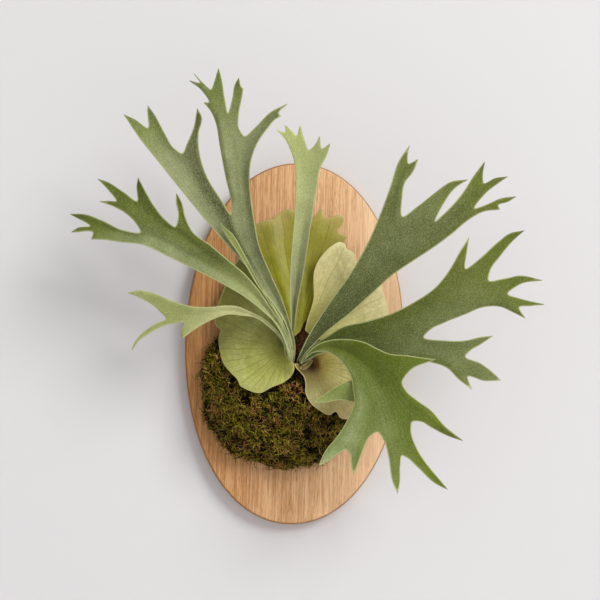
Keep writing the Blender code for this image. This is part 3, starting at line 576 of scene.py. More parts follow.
def shield_lower_depth(flat, lanes, near):
    free = 69.0 - 0.26 * (flat[:, 0] - 8)
    hug = soft_max(above_mound(flat, 4.5), free, 3.0)
    from_pocket = np.hypot(flat[:, 0] - 19, flat[:, 1] + 23)
    pocket = 5.0 * np.exp(-((from_pocket / 9) ** 2))
    lift = 5.0 * np.clip((from_pocket - 25) / 40, 0, 1)
    lip = 9.0 * np.exp(-(np.hypot(flat[:, 0] - 2, flat[:, 1] + 27) / 8) ** 2)
    return hug - pocket + lip + lift + 1.2 * np.sin(2 * math.pi * 4 * lanes) * lift / 5


# "colours" follow the distance from the foot, where the veins fan out, and the brightness
# stops follow the angle. The colours are partly the shields' own and partly painted light:
# dark at the foot of the left and lower shields as painted shade in the crown's pocket, and
# lighter on the right and lower shields as painted light where the fronds' shadows fall.
# The brightness by angle is painted light and shade.
SHIELDS = (
    {"node": "shield_frond_left", "outline": SHIELD_LEFT, "rule": shield_left_depth,
     "foot": (-10, -8), "veins": 11.0, "slot": "shield", "gloss": 0.42, "web": 0.26,
     "tones_and_painted_light": ((0, 0.66), (0.36, 0.55), (0.56, 0.55), (0.74, 0.95), (1, 1.1)),
     "colours": ((0, (96, 94, 30)), (0.15, (138, 138, 58)), (0.4, (172, 175, 102)),
                 (0.7, (138, 140, 62)), (1, (124, 126, 54))),
     "stain": (150, 152, 66), "edge": (176, 174, 104), "vein": (76, 74, 24)},
    {"node": "shield_frond_back", "outline": SHIELD_BACK, "rule": shield_back_depth,
     "foot": (2, 0), "veins": 13.0, "slot": "shield", "gloss": 0.45, "web": 0.12,
     "tones_and_painted_light": EVEN,
     "colours": ((0, (160, 158, 20)), (0.45, (156, 154, 34)), (0.8, (154, 146, 52)),
                 (1, (172, 156, 88))),
     "stain": (128, 128, 4), "edge": (178, 166, 96), "vein": (112, 106, 30)},
    {"node": "shield_frond_right", "outline": SHIELD_RIGHT, "rule": shield_right_depth,
     "foot": (8, 4), "veins": 11.0, "slot": "shield_pale", "gloss": 0.5, "web": 0.14,
     "tones_and_painted_light": EVEN,
     "colours": ((0, (150, 148, 56)), (0.3, (204, 198, 116)), (0.7, (220, 210, 148)),
                 (1, (226, 216, 162))),
     "stain": (170, 166, 84), "edge": (222, 212, 152), "vein": (152, 144, 76)},
    {"node": "shield_frond_lower", "outline": SHIELD_LOWER, "rule": shield_lower_depth,
     "foot": (18, -22), "veins": 13.0, "slot": "shield_pale", "gloss": 0.48, "web": 0.2,
     "tones_and_painted_light": ((0, 0.66), (0.38, 0.74), (0.55, 1.3), (0.7, 1.75), (1, 1.8)),
     "colours": ((0, (46, 25, 0)), (0.1, (84, 56, 6)), (0.22, (152, 134, 58)),
                 (0.5, (200, 194, 124)), (1, (196, 176, 120))),
     "stain": (172, 156, 88), "edge": (206, 188, 136), "vein": (72, 54, 22)},
)


# ---- meshes ----

def vertex_normals(points, faces):
    a, b, c = (points[faces[:, i]] for i in range(3))
    across = np.cross(b - a, c - a)
    normals = np.zeros_like(points)
    for i in range(3):
        for k in range(3):
            normals[:, k] += np.bincount(faces[:, i], across[:, k], len(points))
    return unit(normals)


def add_object(name, data):
    obj = bpy.data.objects.new(name, data)
    bpy.context.scene.collection.objects.link(obj)
    return obj


def mesh_piece(name, points, faces, material, attributes=None):
    """A smooth mesh object from points in mm. Attributes are one float a vertex."""
    mesh = bpy.data.meshes.new(name)
    mesh.from_pydata((np.asarray(points) * MM).tolist(), [], [tuple(f) for f in faces])
    for label, values in (attributes or {}).items():
        layer = mesh.attributes.new(label, "FLOAT", "POINT")
        layer.data.foreach_set("value", np.asarray(values, np.float32))
    mesh.polygons.foreach_set("use_smooth", [True] * len(mesh.polygons))
    mesh.materials.append(material)
    mesh.update()
    return add_object(name, mesh)


def tube_faces(around, rings):
    """Quads round a stack of rings, with a flat cap at each end."""
    k = np.arange(around)
    faces = [list(range(around))[::-1]]
    for r in range(rings - 1):
        low, high = r * around, (r + 1) * around
        faces += np.stack([low + k, low + (k + 1) % around, high + (k + 1) % around,
                           high + k], axis=1).tolist()
    faces.append([(rings - 1) * around + i for i in range(around)])
    return faces


def repeated(faces, count, size):
    """The faces of count copies of a small mesh that has size points."""
    faces = np.array(faces)
    shifts = (np.arange(count) * size)[:, None, None]
    return (faces[None] + shifts).reshape(-1, faces.shape[1]).tolist()


def leaf_piece(name, flat, faces, depth, rim, near, thick, material, attributes):
    """A frond with a rounded margin, thinner there than in the blade."""
    points = toward_viewer(flat, depth)
    normals = vertex_normals(points, faces)
    if normals[:, 1].sum() > 0:
        faces, normals = faces[:, ::-1], -normals
    half = thick / 2 * (0.55 + 0.45 * smoothstep(0.0, 4.0, near))[:, None]
    along = np.roll(points[:rim], -1, axis=0) - np.roll(points[:rim], 1, axis=0)
    out = unit(np.cross(normals[:rim], along))
    middle = points[:rim] + out * thick * 0.3
    total = len(points)
    solid = np.concatenate([points + normals * half, points - normals * half, middle])
    i = np.arange(rim)
    j = (i + 1) % rim
    front, back, mid = 0, total, 2 * total
    quads = np.concatenate([
        np.stack([front + i, front + j, mid + j, mid + i], axis=1),
        np.stack([mid + i, mid + j, back + j, back + i], axis=1),
    ])
    polygons = faces.tolist() + (faces[:, ::-1] + total).tolist() + quads.tolist()
    full = {k: np.concatenate([v, v, v[:rim]]) for k, v in attributes.items()}
    full["near"] = np.concatenate([near, near, np.zeros(rim)])
    full["behind"] = np.concatenate([np.zeros(total), np.ones(total), np.zeros(rim)])
    return mesh_piece(name, solid, polygons, material, full)


# ---- shader helpers ----

class Nodes:
    """A material's node tree, with short ways to add and join nodes."""

    def __init__(self, name):
        self.material = bpy.data.materials.new(name)
        self.material.use_nodes = True
        self.tree = self.material.node_tree
        self.shader = self.tree.nodes["Principled BSDF"]

    def add(self, kind, **settings):
        node = self.tree.nodes.new("ShaderNode" + kind)
        for key, value in settings.items():
            setattr(node, key, value)
        return node

    def join(self, source, target):
        self.tree.links.new(source, target)

    def put(self, socket, value):
        if isinstance(value, bpy.types.NodeSocket):
            self.join(value, socket)
        else:
            socket.default_value = value

    def math(self, operation, a, b=0.0, c=0.0):
        node = self.add("Math", operation=operation)
        for socket, value in zip(node.inputs, (a, b, c)):
            self.put(socket, value)
        return node.outputs[0]

    def times(self, first, *others):
        for other in others:
            first = self.math("MULTIPLY", first, other)
        return first

    def attribute(self, name):
        return self.add("Attribute", attribute_name=name).outputs["Fac"]

    def place(self, scale=(1.0, 1.0, 1.0), shift=(0.0, 0.0, 0.0)):
        """Object coordinates, scaled and shifted."""
        mapping = self.add("Mapping")
        self.join(self.add("TexCoord").outputs["Object"], mapping.inputs["Vector"])
        mapping.inputs["Scale"].default_value = scale
        mapping.inputs["Location"].default_value = shift
        return mapping.outputs[0]

    def noise(self, vector, scale, detail=2.0, roughness=0.5, distortion=0.0):
        node = self.add("TexNoise")
        self.join(vector, node.inputs["Vector"])
        node.inputs["Scale"].default_value = scale
        node.inputs["Detail"].default_value = detail
        node.inputs["Roughness"].default_value = roughness
        node.inputs["Distortion"].default_value = distortion
        return node.outputs["Fac"]

    def range(self, value, low, high, to_low=0.0, to_high=1.0, smooth=False):
        node = self.add("MapRange")
        if smooth:
            node.interpolation_type = "SMOOTHSTEP"
        self.put(node.inputs["Value"], value)
        for label, number in (("From Min", low), ("From Max", high), ("To Min", to_low),
                              ("To Max", to_high)):
            self.put(node.inputs[label], number)
        return node.outputs["Result"]

    def follow(self, value, stops):
        node = self.add("ValToRGB")
        elements = node.color_ramp.elements
        while len(elements) < len(stops):
            elements.new(0.5)
        for element, (position, colour) in zip(elements, stops):
            element.position = position
            element.color = colour
        self.join(value, node.inputs["Fac"])
        return node.outputs["Color"]

    def ramp(self, value, stops):
        """A colour that follows (place, sRGB colour) stops."""
        return self.follow(value, [(place, linear(colour)) for place, colour in stops])

    def levels(self, value, stops):
        """A number that follows (place, level) stops. Levels run from 0 to 2."""
        halves = [(place, (level / 2, level / 2, level / 2, 1.0)) for place, level in stops]
        return self.times(self.follow(value, halves), 2.0)

    def mix(self, factor, a, b, blend="MIX"):
        node = self.add("Mix", data_type="RGBA", blend_type=blend)
        self.put(node.inputs[0], factor)
        self.put(node.inputs[6], a)
        self.put(node.inputs[7], b)
        return node.outputs[2]

    def brighten(self, colour, tone):
        """The colour with each channel multiplied by tone."""
        shade = self.add("CombineColor")
        for socket in shade.inputs[:3]:
            self.join(tone, socket)
        return self.mix(1.0, colour, shade.outputs[0], "MULTIPLY")

    def bump(self, height, strength, distance):
        node = self.add("Bump")
        node.inputs["Strength"].default_value = strength
        node.inputs["Distance"].default_value = distance
        self.join(height, node.inputs["Height"])
        return node.outputs["Normal"]

    def finish(self, colour, roughness, normal=None, **fixed):
        self.put(self.shader.inputs["Base Color"], colour)
        self.put(self.shader.inputs["Roughness"], roughness)
        if normal is not None:
            self.join(normal, self.shader.inputs["Normal"])
        for label, value in fixed.items():
            self.shader.inputs[label.replace("_", " ")].default_value = value
        return self.material


def antler_material(frond, ribs):
    """Grey-green felted blade with fine ribs along its lobes, painted light and shade across it,
    a painted sheen and a thin pale margin that is partly painted highlight.
    """
    n = Nodes(frond["node"] + "_finish")
    lane, near = n.attribute("lane"), n.attribute("near")
    along, behind = n.attribute("along"), n.attribute("behind")
    place = n.place()
    patches = n.noise(place, 45.0, 3.0)
    felt = n.noise(place, 640.0, 3.0, 0.75)
    hairs = n.noise(place, 900.0, 2.0, 0.7)
    wander = n.noise(place, 30.0, 1.0)
    shifted = n.math("MULTIPLY_ADD", wander, 0.25 / ribs, lane)
    wave = n.math("SINE", n.times(shifted, 2 * math.pi * ribs))
    rib = n.range(wave, 0.55, 1.0, smooth=True)
    faint = n.math("SINE", n.times(shifted, 2 * math.pi * ribs * 3))
    beyond = n.range(along, 0.22, 0.55, 0.3, 1.0, True)
    # Painted light and shade: the brightness stops across the blade lighten or darken the parts
    # that face towards or away from the lamp.
    lift = n.math("SUBTRACT", n.levels(lane, frond["tones_and_painted_light"]), 1.0)
    tone = n.times(n.range(patches, 0.3, 0.7, 0.86, 1.12), n.range(felt, 0.3, 0.7, 0.74, 1.24),
                   n.range(faint, -1.0, 1.0, 0.97, 1.03), n.range(rib, 0.0, 1.0, 1.0, 0.93),
                   n.math("MULTIPLY_ADD", lift, beyond, 1.0))
    # Grey bloom: partly the felt's own silvery colour, partly a painted sheen on the drooping
    # frond's lower lobes.
    bloom_and_sheen = n.times(n.levels(lane, frond["bloom_and_sheen"]), beyond,
                     n.range(patches, 0.3, 0.65, 0.6, 1.15),
                     n.range(along, 0.72, 0.9, 1.0, 0.15), n.range(felt, 0.35, 0.65, 0.6, 1.4))
    fuzz = n.range(hairs, 0.46, 0.7, 0.0, frond["fuzz"])
    # Pale margin: partly the blade's own pale edge, partly a painted highlight.
    rim = n.times(n.range(near, 0.2, 1.15, 0.75, 0.0, True),
                  n.range(along, 0.84, 0.97, 1.0, 0.35))
    colour = n.brighten(n.ramp(along, frond["colours"]), tone)
    for amount, tint in ((bloom_and_sheen, (176, 184, 148)), (fuzz, (186, 192, 150)),
                         (n.times(behind, 0.4), (160, 166, 128)), (rim, (180, 184, 128))):
        colour = n.mix(amount, colour, linear(tint))
    height = n.math("MULTIPLY_ADD", felt, 0.5, n.times(rib, 0.55))
    normal = n.bump(height, 0.5, 0.0005)
    rough = n.range(felt, 0.2, 0.8, 0.5, 0.68)
    return n.finish(colour, rough, normal, Specular_IOR_Level=0.15)


def shield_material(shield):
    """Papery olive shield with forked veins fanning out from the crown, painted light and shade
    by the angle round its foot, and a pale margin that is partly painted highlight.
    """
    n = Nodes(shield["node"] + "_finish")
    angle, reach = n.attribute("angle"), n.attribute("reach")
    near, behind = n.attribute("near"), n.attribute("behind")
    place = n.place()
    wander = n.noise(place, 30.0, 3.0, 0.6)
    bent = n.math("MULTIPLY_ADD", wander, 0.05, angle)
    patches = n.noise(place, 38.0, 4.0, 0.6)
    grain = n.noise(place, 700.0, 3.0, 0.7)
    veins = None
    for count, start, width in ((1.0, 0.0, 0.045), (2.0, 0.3, 0.055), (4.0, 0.62, 0.07)):
        turn = n.times(bent, shield["veins"] * count)
        line = n.math("ABSOLUTE", n.math("SUBTRACT", n.math("FRACT", turn), 0.5))
        line = n.times(n.range(line, 0.5 - width, 0.5, smooth=True),
                       n.range(reach, start, start + 0.12),
                       n.range(reach, 0.3, 1.0, 1.0, 0.55), 0.9 / count**0.4)
        veins = line if veins is None else n.math("MAXIMUM", veins, line)
    net = n.add("TexVoronoi", feature="DISTANCE_TO_EDGE", voronoi_dimensions="2D")
    both = n.add("CombineXYZ")
    n.join(n.times(bent, shield["veins"] * 1.6), both.inputs[0])
    n.join(n.math("MULTIPLY_ADD", wander, 1.2, n.times(reach, 12.0)), both.inputs[1])
    n.join(both.outputs[0], net.inputs["Vector"])
    net.inputs["Scale"].default_value = 1.0
    web = n.range(net.outputs["Distance"], 0.0, 0.09, shield["web"], 0.0, True)
    veins = n.times(n.math("MAXIMUM", veins, web), n.range(near, 0.5, 6.0, 0.25, 1.0))
    colour = n.ramp(reach, shield["colours"])
    stain = n.noise(n.place((1.0, 1.0, 0.6), (0.2, 0.0, 0.4)), 30.0, 4.0, 0.6, 0.6)
    stain = n.times(n.range(stain, 0.5, 0.62, 0.0, 0.6), n.range(near, 1.0, 9.0))
    colour = n.mix(stain, colour, linear(shield["stain"]))
    mottle = n.noise(place, 230.0, 3.0, 0.7)
    # The levels by angle round the foot are painted light and shade.
    tone = n.times(n.range(patches, 0.3, 0.7, 0.88, 1.12),
                   n.range(grain, 0.25, 0.75, 0.88, 1.12), n.range(mottle, 0.3, 0.7, 0.9, 1.1),
                   n.levels(n.range(angle, -0.7, 0.7), shield["tones_and_painted_light"]))
    colour = n.brighten(colour, tone)
    colour = n.mix(n.times(veins, 0.85), colour, linear(shield["vein"]))
    colour = n.mix(n.times(behind, 0.35), colour, linear((150, 142, 90)))
    # Pale margin: partly the shield's own pale edge, partly a painted highlight.
    rim = n.range(near, 0.3, 1.4, 0.7, 0.0, True)
    colour = n.mix(rim, colour, linear(shield["edge"]))
    height = n.math("MULTIPLY_ADD", grain, 0.25, n.times(veins, -0.8))
    normal = n.bump(height, 0.6, 0.0006)
    rough = n.range(grain, 0.2, 0.8, shield["gloss"] - 0.06, shield["gloss"] + 0.1)
    return n.finish(colour, rough, normal, Specular_IOR_Level=0.3)


# ---- pieces ----

def keep(piece, node):
    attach(piece, BODY)
    if node:
        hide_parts(node)


def add_antler(frond):
    """One antler frond. Gives back its material."""
    outline = frond["outline"]
    flat, faces, lanes, rim, near = sheet_of(outline)
    foot = (np.array(outline[0][:2]) + np.array(outline[-1][:2])) / 2
    depth = antler_depth(flat, lanes, foot, frond)
    distance = np.hypot(*(flat - foot).T)
    if frond["node"] == "antler_frond_tall":
        depth -= recurved_margin(flat, near)
    depth -= FOOT_DIVE * np.exp(-((distance / FOOT_DIVE_REACH) ** 2))
    crease = CREASE_DEPTH * np.exp(-(((lanes - 0.5) / CREASE_WIDTH) ** 2))
    depth -= crease * smoothstep(190, 60, distance)
    points = toward_viewer(flat, depth)
    depth += 0.7 * noise_at(points, 26.0, 1) * smoothstep(20, 90, distance)
    tips = sum(1 for p in outline if p[2:] == (TIP,))
    attributes = {"lane": lanes, "along": distance / distance.max()}
    material = antler_material(frond, max(tips, 2) * 3.0)
    piece = leaf_piece(frond["node"].replace("antler_frond", "blade"), flat, faces, depth,
                       rim, near, ANTLER_THICK, material, attributes)
    keep(piece, frond["node"])
    return material


def recurved_margin(flat, near):
    """How far the left margin of the tall frond's right-hand branch rolls back."""
    up = smoothstep(142, 160, flat[:, 1]) * smoothstep(268, 240, flat[:, 1])
    line = -75 - (flat[:, 1] - 140) * 0.24
    left = smoothstep(16, 4, flat[:, 0] - line) * smoothstep(-30, -8, flat[:, 0] - line)
    return 2.6 * up * left * smoothstep(5, 0, near)


def add_folded_lobe(material):
    """The small lobe of the drooping frond that is tucked behind its left margin."""
    flat, faces, lanes, rim, near = sheet_of(FOLDED_LOBE)
    depth = 108.0 - 0.12 * (70 - flat[:, 0]) + 1.5 * np.sin(flat[:, 1] / 8)
    # These lane and along numbers give the lobe the drooping frond's painted light and painted
    # sheen near their strongest.
    attributes = {"lane": 0.84 + 0.06 * lanes, "along": np.full(len(flat), 0.81)}
    piece = leaf_piece("blade_lower_right_folded_lobe", flat, faces, depth, rim, near,
                       SHIELD_THICK, material, attributes)
    keep(piece, None)


def add_shield(shield):
    flat, faces, lanes, rim, near = sheet_of(shield["outline"], fan=True)
    away = flat - np.array(shield["foot"], float)
    reach = np.hypot(*away.T)
    angle = np.arctan2(away[:, 1], away[:, 0])
    middle = np.median(angle[reach > 0.4 * reach.max()])
    angle = (angle - middle + math.pi) % (2 * math.pi) - math.pi
    depth = shield["rule"](flat, lanes, near)
    vein = np.sin(2 * math.pi * shield["veins"] * angle / FAN)
    depth += VEIN_HEIGHT * vein * smoothstep(8, 30, reach)
    points = toward_viewer(flat, depth)
    depth += 0.8 * noise_at(points, 22.0, 3) * smoothstep(4, 16, reach)
    attributes = {"angle": angle / FAN, "reach": reach / reach.max()}
    piece = leaf_piece(shield["node"].replace("shield_frond", "shield"), flat, faces, depth,
                       rim, near, SHIELD_THICK, shield_material(shield), attributes)
    keep(piece, shield["node"])


def add_bract():
    bract = {"node": "crown_bract", "foot": (22, -16), "veins": 9.0, "gloss": 0.5,
             "colours": ((0.0, (70, 50, 16)), (0.45, (112, 94, 44)), (1.0, (150, 132, 82))),
             "web": 0.0, "tones_and_painted_light": EVEN, "stain": (100, 78, 36),
             "edge": (166, 150, 100), "vein": (80, 58, 28)}
    flat, faces, _, rim, near = sheet_of(BRACT, True, BRACT_MARGIN_STEP, BRACT_GRID_STEP)
    away = flat - np.array(bract["foot"], float)
    reach = np.hypot(*away.T)
    depth = 76.0 + 0.03 * (flat[:, 0] - 12) ** 2 + 1.5 * smoothstep(3, 0, near)
    attributes = {"angle": np.arctan2(away[:, 1], away[:, 0]) / FAN,
                  "reach": reach / reach.max()}
    piece = leaf_piece("curled_bract", flat, faces, depth, rim, near, BRACT_THICK,
                       shield_material(bract), attributes)
    keep(piece, "crown_bract")


# ---- moss ----

def moss_material():
    """Green to brown by a sprig's tone, with painted shade at its foot and in the hollows, and a
    painted highlight at its end.
    """
    n = Nodes("moss_finish")
    tone, up = n.attribute("tone"), n.attribute("up")
    colour = n.ramp(tone, ((0.0, (50, 38, 8)), (0.25, (76, 64, 12)), (0.45, (98, 92, 16)),
                           (0.62, (128, 122, 40)), (0.74, (118, 84, 36)),
                           (0.87, (160, 116, 70)), (1.0, (100, 60, 28))))
    fleck = n.noise(n.place(), 1600.0, 2.0)
    painted_shade_and_highlight = n.times(n.range(up, 0.2, 0.95, 0.02, 2.5), n.range(fleck, 0.3, 0.7, 0.75, 1.25))
    rough = n.range(fleck, 0.2, 0.8, 0.6, 0.8)
    return n.finish(n.brighten(colour, painted_shade_and_highlight), rough, n.bump(fleck, 0.5, 0.0004),
                    Specular_IOR_Level=0.1)


def dome_points(angle, rho):
    """Places on the moss dome, with its low lumps, and their outward directions."""
    def at(angle, rho):
        lump = 1 + 0.02 * np.sin(5 * angle + 1) + 0.014 * np.sin(11 * angle)
        x = MOUND_X + MOUND_HALF_WIDTH * rho * lump * np.cos(angle)
        z = MOUND_Z + MOUND_HALF_HEIGHT * rho * lump * np.sin(angle)
        rise = np.sqrt(np.clip(1 - rho**2.4, 0, 1))
        bump = np.minimum(1.3 * rho * np.sin(9 * angle + 14 * rho) * np.sin(3.2 * rho), 0.8)
        depth = BOARD_THICK + MOUND_SKIRT + MOUND_RISE * rise + bump
        return np.stack([x, -depth, z], axis=1)
    here = at(angle, rho)
    turned = at(angle + 0.01, rho) - here
    further = at(angle, np.minimum(rho + 0.004, 1.0)) - at(angle, np.maximum(rho - 0.004, 0))
    out = unit(np.cross(turned, further))
    out[(out * (here - np.array([MOUND_X, 0.0, MOUND_Z]))).sum(1) < 0] *= -1
    return here, out


def add_mound_core(material):
    """The mound under the sprigs, painted almost black as shade between them."""
    around, rings = 160, 60
    angle = np.tile(np.linspace(0, 2 * math.pi, around, endpoint=False), rings)
    rho = np.repeat(np.sin(np.linspace(math.pi / 2, 0.03, rings)), around)
    points, out = dome_points(angle, rho)
    points += out * (1.1 * noise_at(points, 6.0, 5) - 1.0)[:, None]
    points[:, 1] = np.minimum(points[:, 1], -BOARD_THICK - CORE_CLEAR)
    foot = points[:around].copy()
    foot[:, 1] = -BOARD_THICK - FOOT_CLEAR
    points = np.concatenate([foot, points])
    faces = tube_faces(around, rings + 1)
    tone = 0.12 + 0.2 * np.random.default_rng(3).random(len(points))
    # The low up value paints the core almost black, as painted shade between the sprigs.
    obj = mesh_piece("moss_core", points, faces, material,
                     {"tone": tone, "up": np.full(len(points), 0.1)})
    keep(obj, "moss_mound")


def sprig_meshes(root, out, heading, length, height, thick, curl, tone, rng):
    """Curled strands with a jagged outline, as (points, faces, tone, up)."""
    count, rings = len(root), 6
    side = unit(np.cross(out, np.array([0.31, 0.52, 0.79])))
    other = np.cross(out, side)
    s = np.linspace(0, 1, rings)
    turn = heading[:, None] + curl[:, None] * s
    step = (length / (rings - 1))[:, None]
    dx = np.cumsum(np.cos(turn) * step, axis=1) - np.cos(turn[:, :1]) * step
    dz = np.cumsum(np.sin(turn) * step, axis=1) - np.sin(turn[:, :1]) * step
    lift = -1.0 + height[:, None] * s**0.8 * (1.25 - 0.45 * s)
    path = (root[:, None] + dx[..., None] * side[:, None] + dz[..., None] * other[:, None]
            + lift[..., None] * out[:, None])
    path += rng.normal(0, 0.25, path.shape)
    ahead = unit(np.gradient(path, axis=1))
    a = unit(np.cross(ahead, out[:, None]))
    b = np.cross(ahead, a)
    jag = np.where(np.arange(rings) % 2 == 0, 0.5, 1.45)
    radius = thick[:, None] * (1 - 0.55 * s) * jag
    radius[:, 0] *= 0.6
    radius[:, -1] *= 0.4
    corners = []
    for k in range(3):
        angle = 2 * math.pi * k / 3 + heading[:, None, None]
        corners.append(path + radius[..., None] * (np.cos(angle) * a + np.sin(angle) * b))
    points = np.stack(corners, axis=2).reshape(-1, 3)
    r = np.arange(rings - 1)
    one = []
    for k in range(3):
        m = (k + 1) % 3
        one.append(np.stack([3 * r + k, 3 * r + m, 3 * r + 3 + m, 3 * r + 3 + k], axis=1))
    caps = [(0, 2, 1), (3 * rings - 3, 3 * rings - 2, 3 * rings - 1)]
    faces = repeated(np.concatenate(one), count, rings * 3) + repeated(caps, count, rings * 3)
    return points, faces, np.repeat(tone, rings * 3), np.tile(np.repeat(s, 3), count)


def under_shields(points, clear):
    """1 where a point lies behind a shield as the viewer sees it, fading out over clear mm."""
    flat = on_board_face(points)
    covered = np.zeros(len(points))
    for shield in SHIELDS:
        margin = sample_margin(shield["outline"], 4.0)[0]
        near, inside = distance_to_margin(flat, margin)
        signed = np.where(inside, near, -near)
        covered = np.maximum(covered, smoothstep(-clear, 1.0, signed))
    crown = np.hypot((flat[:, 0] - 7) / 13, (flat[:, 1] - 2) / 22)
    return np.maximum(covered, smoothstep(1.2, 0.8, crown))


# Name, count, nearest and farthest ring, lengths, heights, widths, spread of the curl
SPRIGS = (
    ("moss_cushion_a", 5200, 0.0, 0.86, (5.0, 10.0), (2.5, 7.0), (0.6, 1.2), 1.3),
    ("moss_cushion_b", 5200, 0.0, 0.92, (4.0, 9.0), (2.0, 5.0), (0.5, 0.95), 1.2),
    ("moss_skirt", 5200, 0.78, 1.0, (4.0, 8.0), (1.5, 4.0), (0.5, 0.9), 1.0),
    ("moss_stray", 3000, 0.3, 1.02, (7.0, 15.0), (3.0, 7.5), (0.4, 0.65), 1.8),
)


def add_sprigs(kind, material, rng):
    """One piece of curled sprigs. They are shorter where a shield covers them."""
    name, count, low, high, lengths, heights, widths, curls = kind
    angle = rng.uniform(0, 2 * math.pi, count)
    rho = np.sqrt(rng.uniform(low**2, high**2, count))
    if name == "moss_skirt":
        rho = rng.uniform(low**3, high**3, count) ** (1 / 3)
    root, out = dome_points(angle, rho)
    fit = 1 - 0.75 * under_shields(root, 9.0)
    tone = 0.43 + 0.55 * noise_at(root, 13.0, 9) + rng.normal(0, 0.19, count)
    relief = np.clip(0.52 + 1.9 * noise_at(root, 10.0, 21), 0.0, 1.0)
    if name == "moss_stray":
        tone += 0.22
        relief = np.maximum(relief, 0.7)
    crown = np.exp(-(np.hypot(root[:, 0] - 5, root[:, 2] + 45) / 28) ** 2)
    tone = np.clip(tone + 0.3 * crown, 0.0, 1.0)
    heading = 8.0 * noise_at(root, 16.0, 12) + rng.normal(0, 0.7, count)
    points, faces, tones_and_painted_light, painted_light_ups = sprig_meshes(
        root, out, heading, rng.uniform(*lengths, count) * fit,
        rng.uniform(*heights, count) * fit * (0.5 + 1.1 * relief),
        rng.uniform(*widths, count), rng.normal(0, curls, count), tone, rng)
    # Painted shade and highlight: each sprig is dark at its foot and bright at its end, and
    # darker in the hollows of the relief. Stray sprigs are kept light.
    painted_light_ups = painted_light_ups * np.repeat(0.36 + 0.64 * relief, len(painted_light_ups) // count)
    points[:, 1] = np.minimum(points[:, 1], -BOARD_THICK - SPRIG_CLEAR)
    keep(mesh_piece(name, points, faces, material, {"tone": tones_and_painted_light, "up": painted_light_ups}), None)


def add_moss(material):
    rng = np.random.default_rng(11)
    for kind in SPRIGS:
        add_sprigs(kind, material, rng)


# ---- rhizome ----

def rhizome_material():
    """Dark fibrous brown, streaked along the stem."""
    n = Nodes("rhizome_finish")
    streak = n.noise(n.place((1.0, 1.0, 0.4)), 500.0, 3.0)
    patch = n.noise(n.place(), 120.0, 2.0)
    colour = n.ramp(streak, ((0.34, (30, 15, 2)), (0.52, (74, 44, 16)), (0.74, (132, 92, 52))))
    colour = n.mix(n.range(patch, 0.45, 0.7, 0.0, 0.5), colour, linear((84, 54, 22)))
    return n.finish(colour, n.range(streak, 0.2, 0.8, 0.65, 0.85),
                    n.bump(streak, 0.6, 0.0005), Specular_IOR_Level=0.2)


def rhizome_path():
    """Centres and radii along the stem, from the board's face out to its bud."""
    path = np.array([(12, 52, 20), (10, 57, 10), (7, 61, -2), (5, 65, -12), (4, 69, -20),
                     (3.5, 73, -26), (3.5, 76, -28)], float)
    path[:, 1] *= -1
    radii = np.array((5.0, 6.5, 8.0, 8.0, 6.0, 3.0, 1.4))
    places = np.arange(len(path), dtype=float)
    fine = np.linspace(0, len(path) - 1, 40)
    centres = curve_at(places, path, slopes_along(places, path), fine)
    return centres, curve_at(places, radii, slopes_along(places, radii), fine)


def add_rhizome():
    material = rhizome_material()
    centres, radii = rhizome_path()
    ahead = unit(np.gradient(centres, axis=0))
    side = unit(np.array((1.0, 0, 0)) - ahead * ahead[:, :1])
    up = np.cross(ahead, side)
    around = 36
    angle = np.linspace(0, 2 * math.pi, around, endpoint=False)
    spokes = (np.cos(angle)[None, :, None] * side[:, None]
              + np.sin(angle)[None, :, None] * up[:, None])
    points = (centres[:, None] + spokes * (radii * 0.94)[:, None, None]).reshape(-1, 3)
    points += spokes.reshape(-1, 3) * (0.35 * noise_at(points, 2.5, 2))[:, None]
    faces = tube_faces(around, len(centres))
    keep(mesh_piece("rhizome_stem", points, faces, material), "rhizome")
    add_scales(centres, radii, ahead, side, up, material)


def add_scales(centres, radii, ahead, side, up, material):
    """Narrow papery scales that overlap along the stem towards its bud."""
    rng = np.random.default_rng(5)
    count = 420
    index = rng.integers(1, len(centres) - 3, count)
    angle = rng.uniform(0, 2 * math.pi, count)
    spoke = np.cos(angle)[:, None] * side[index] + np.sin(angle)[:, None] * up[index]
    foot = centres[index] + spoke * (radii[index] * 0.9)[:, None]
    length = rng.uniform(3.0, 6.0, count)[:, None]
    lean = unit(ahead[index] + spoke * rng.uniform(0.12, 0.4, count)[:, None])
    wide = np.cross(lean, spoke) * rng.uniform(0.7, 1.3, count)[:, None]
    thick = spoke * 0.16
    profile = ((0.0, 0.6), (0.35, 1.0), (0.7, 0.6), (1.0, 0.08))
    points = []
    for along, half in profile:
        centre = foot + lean * length * along
        points += [centre - wide * half, centre + thick, centre + wide * half,
                   centre - thick]
    points = np.stack(points, axis=1).reshape(-1, 3)
    one = [(3, 2, 1, 0), (12, 13, 14, 15)]
    for r in range(3):
        for k in range(4):
            m = (k + 1) % 4
            one.append((4 * r + k, 4 * r + m, 4 * r + 4 + m, 4 * r + 4 + k))
    scales = mesh_piece("rhizome_scales", points, repeated(one, count, 16), material)
    keep(scales, None)


# ---- board and fittings ----

